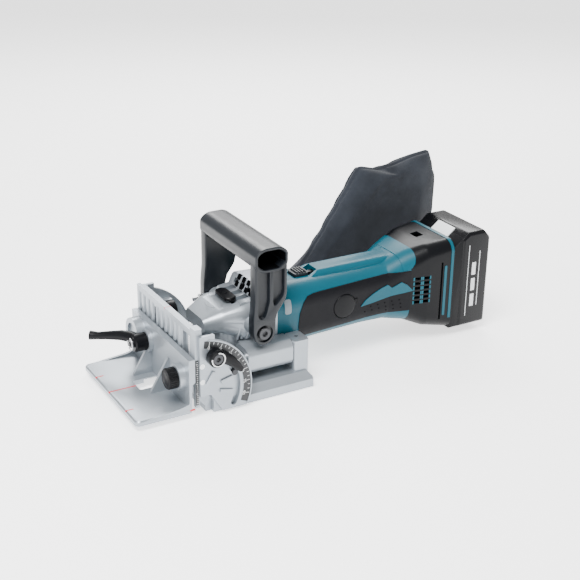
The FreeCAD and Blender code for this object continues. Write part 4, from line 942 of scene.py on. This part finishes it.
BATTERY_FRONT = [(306.5, 9.0), (326, 9.0), (326, 113.4), (324.9, 113.4), (306.5, 98.9)]
BATTERY_BOX = [(317.6, 8.0), (354, 8.0), (354, 105.5), (346, 114), (325.5, 114), (317.6, 107.6)]
LABEL_BARS = (((326.2, 20), (326.9, 100)), ((331.5, 30), (336.5, 44)), ((331.5, 48), (336.5, 62)),
              ((331.5, 66), (336.5, 80)), ((340.4, 30), (341.2, 92)))


def battery_shell():
    """A front piece with the sloping shoulder, and the larger rounded box of cells behind it."""
    front = bmesh.new()
    slab(front, BATTERY_FRONT, "y", -36.2, 36.2)
    soften(front, 2.2, 3)
    rear = bmesh.new()
    slab(rear, BATTERY_BOX, "y", -37.5, 37.5)
    upright = [edge for edge in rear.edges if abs(edge.verts[0].co.y - edge.verts[1].co.y) < 0.01]
    bmesh.ops.bevel(rear, geom=upright, offset=4.0, segments=5, affect="EDGES", profile=0.5, material=-1,
                    clamp_overlap=True)
    soften(rear, 1.6, 3, 35.0)
    pocket = bmesh.new()
    slab(pocket, rounded_box((-11.2, -15.4), (11.2, 15.4), 2.5), "z", -3.5, 5)
    lean = Matrix.Rotation(-math.atan2(15, 19.1), 4, "Y")
    bmesh.ops.transform(pocket, verts=pocket.verts, matrix=Matrix.Translation((315.9, 0, 106.5)) @ lean)
    front = crossed(front, pocket.copy(), "DIFFERENCE")
    rear = crossed(rear, pocket, "DIFFERENCE")
    shell = finished("battery_front", front, "battery", "black_plastic")
    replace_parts(shell, "battery_cover")
    cells = finished("battery_box", rear, "battery", "black_plastic", "gloss_black")
    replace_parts(cells, "battery_case")
    label = bmesh.new()
    for side in (-1, 1):
        for low, high in LABEL_BARS:
            slab(label, rounded_box(low, high, 0.3), "y", *sorted((side * 37.35, side * 37.56)))
    finished("battery_panel_marks", label, "battery", "white_plastic", "mark_white")


battery_shell()


# The dust bag ----------------------------------------------------------------------------

BAG_OUTLINE = [(101, 19), (113, 14.5), (150, 14.5), (219, 24.5), (299, 46.5), (350, 68), (368, 93),
               (369, 139), (359, 167.5), (338, 168.5), (303, 167.0), (262, 164.5), (222.5, 114),
               (186.5, 68.5), (151, 40.5), (110, 36)]
BAG_SEAM = 84.0
BAG_FLAT_HALF = 7.0
BAG_SWELL = 10.0
BAG_FRAMES = 20
NOZZLE = Vector((78.0, 84.0, 11.4))
NOZZLE_LEAN = Vector((1.0, 0.0, 0.5)).normalized()
COLLAR_REACH = 13.3


def blown_up(shape):
    """The cut-out pocket after its cloth has been filled with air, in millimetres."""
    bmesh.ops.transform(shape, matrix=TO_FRAME, verts=shape.verts)
    mesh = bpy.data.meshes.new("pocket")
    shape.to_mesh(mesh)
    shape.free()
    pocket = bpy.data.objects.new("pocket", mesh)
    bpy.context.scene.collection.objects.link(pocket)
    pieces = pocket.modifiers.new("panels", "REMESH")
    pieces.mode = "VOXEL"
    pieces.voxel_size = 4.5 * MM
    ready = pocket.evaluated_get(bpy.context.evaluated_depsgraph_get())
    panels = bpy.data.meshes.new_from_object(ready)
    pocket.modifiers.clear()
    pocket.data = panels
    cloth = pocket.modifiers.new("cloth", "CLOTH")
    cloth.settings.quality = 6
    cloth.settings.mass = 0.2
    cloth.settings.tension_stiffness = 12
    cloth.settings.compression_stiffness = 6
    cloth.settings.bending_stiffness = 3.0
    cloth.settings.use_pressure = True
    cloth.settings.uniform_pressure_force = 4
    cloth.settings.effector_weights.gravity = 0
    cloth.point_cache.frame_start = 1
    cloth.point_cache.frame_end = BAG_FRAMES
    for frame_number in range(1, BAG_FRAMES + 1):
        bpy.context.scene.frame_set(frame_number)
    ready = pocket.evaluated_get(bpy.context.evaluated_depsgraph_get())
    moved = bpy.data.meshes.new_from_object(ready)
    pocket.modifiers.clear()
    for vert, far in zip(panels.vertices, moved.vertices):
        step = far.co - vert.co
        vert.co += step * min(1.0, BAG_SWELL * MM / max(step.length, 1e-9))
    bpy.context.scene.frame_set(1)
    smoother = pocket.modifiers.new("smoother", "SUBSURF")
    smoother.levels = 2
    smoother.render_levels = 2
    ready = pocket.evaluated_get(bpy.context.evaluated_depsgraph_get())
    result = bmesh.new()
    result.from_mesh(ready.to_mesh())
    ready.to_mesh_clear()
    bpy.data.objects.remove(pocket)
    bmesh.ops.transform(result, matrix=TO_FRAME.inverted(), verts=result.verts)
    result.normal_update()
    return result


def seam_push(vert):
    """How far the bound seam stands out of the bag's edge, with a groove on both sides of it."""
    off_seam = abs(vert.co.y - BAG_SEAM)
    edge = max(0.0, 1 - abs(vert.normal.y) * 1.4)
    binding = 1.5 * max(0.0, 1 - (off_seam / 2.2) ** 4)
    groove = 0.6 * math.exp(-((off_seam - 3.6) / 1.2) ** 2)
    return edge * binding - edge * groove


def crease_push(vert):
    """Soft waves over the panels, more where the cloth hangs slack, and small pleats at the corner."""
    x, z = vert.co.x, vert.co.z
    pleat = math.sin(0.42 * (x - 0.8 * z) + 1.6 * math.sin(0.05 * (x + z)))
    corner = math.exp(-(((x - 268) / 34) ** 2 + ((z - 150) / 26) ** 2))
    slack = math.exp(-(((x - 330) / 60) ** 2 + ((z - 100) / 40) ** 2))
    soft = math.sin(0.085 * x + 1.3 * math.sin(0.05 * z)) * math.sin(0.07 * z + 0.6)
    return abs(vert.normal.y) * (0.45 * corner * pleat + 0.5 * slack * soft + 0.3 * soft)


def dust_bag():
    """The cloth bag: two panels blown up like a cushion, a bound seam between them, and creases."""
    pocket = bmesh.new()
    slab(pocket, BAG_OUTLINE, "y", BAG_SEAM - BAG_FLAT_HALF, BAG_SEAM + BAG_FLAT_HALF)
    bag = blown_up(pocket)
    moves = [(vert, vert.normal * (seam_push(vert) + crease_push(vert))) for vert in bag.verts]
    for vert, move in moves:
        vert.co += move
    sleeve = bmesh.new()
    lean = NOZZLE_LEAN.to_track_quat("Z", "Y").to_matrix().to_4x4()
    bmesh.ops.create_cone(sleeve, cap_ends=True, segments=64, radius1=COLLAR_REACH,
                          radius2=COLLAR_REACH, depth=45,
                          matrix=Matrix.Translation(NOZZLE + NOZZLE_LEAN * 12.5) @ lean)
    bag = crossed(bag, sleeve, "DIFFERENCE")
    piece = finished("dust_bag_cloth", bag, body_of(nodes["dust_bag"])[0], "bag_cloth", smooth=60.0)
    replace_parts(piece, "dust_bag")
    cuff = bmesh.new()
    turned(cuff, [(0, COLLAR_REACH), (0.4, 15.2), (2.2, 16.0), (4.0, 15.3), (9.0, 15.4), (12.0, 16.4),
                  (14.0, 15.0), (14.0, COLLAR_REACH)], (0, 0, 0), "z")
    bmesh.ops.transform(cuff, verts=cuff.verts,
                        matrix=Matrix.Translation(NOZZLE + NOZZLE_LEAN * 22.0) @ lean)
    finished("bag_cuff", cuff, body_of(nodes["dust_bag"])[0], "bag_cloth", smooth=60.0)


dust_bag()
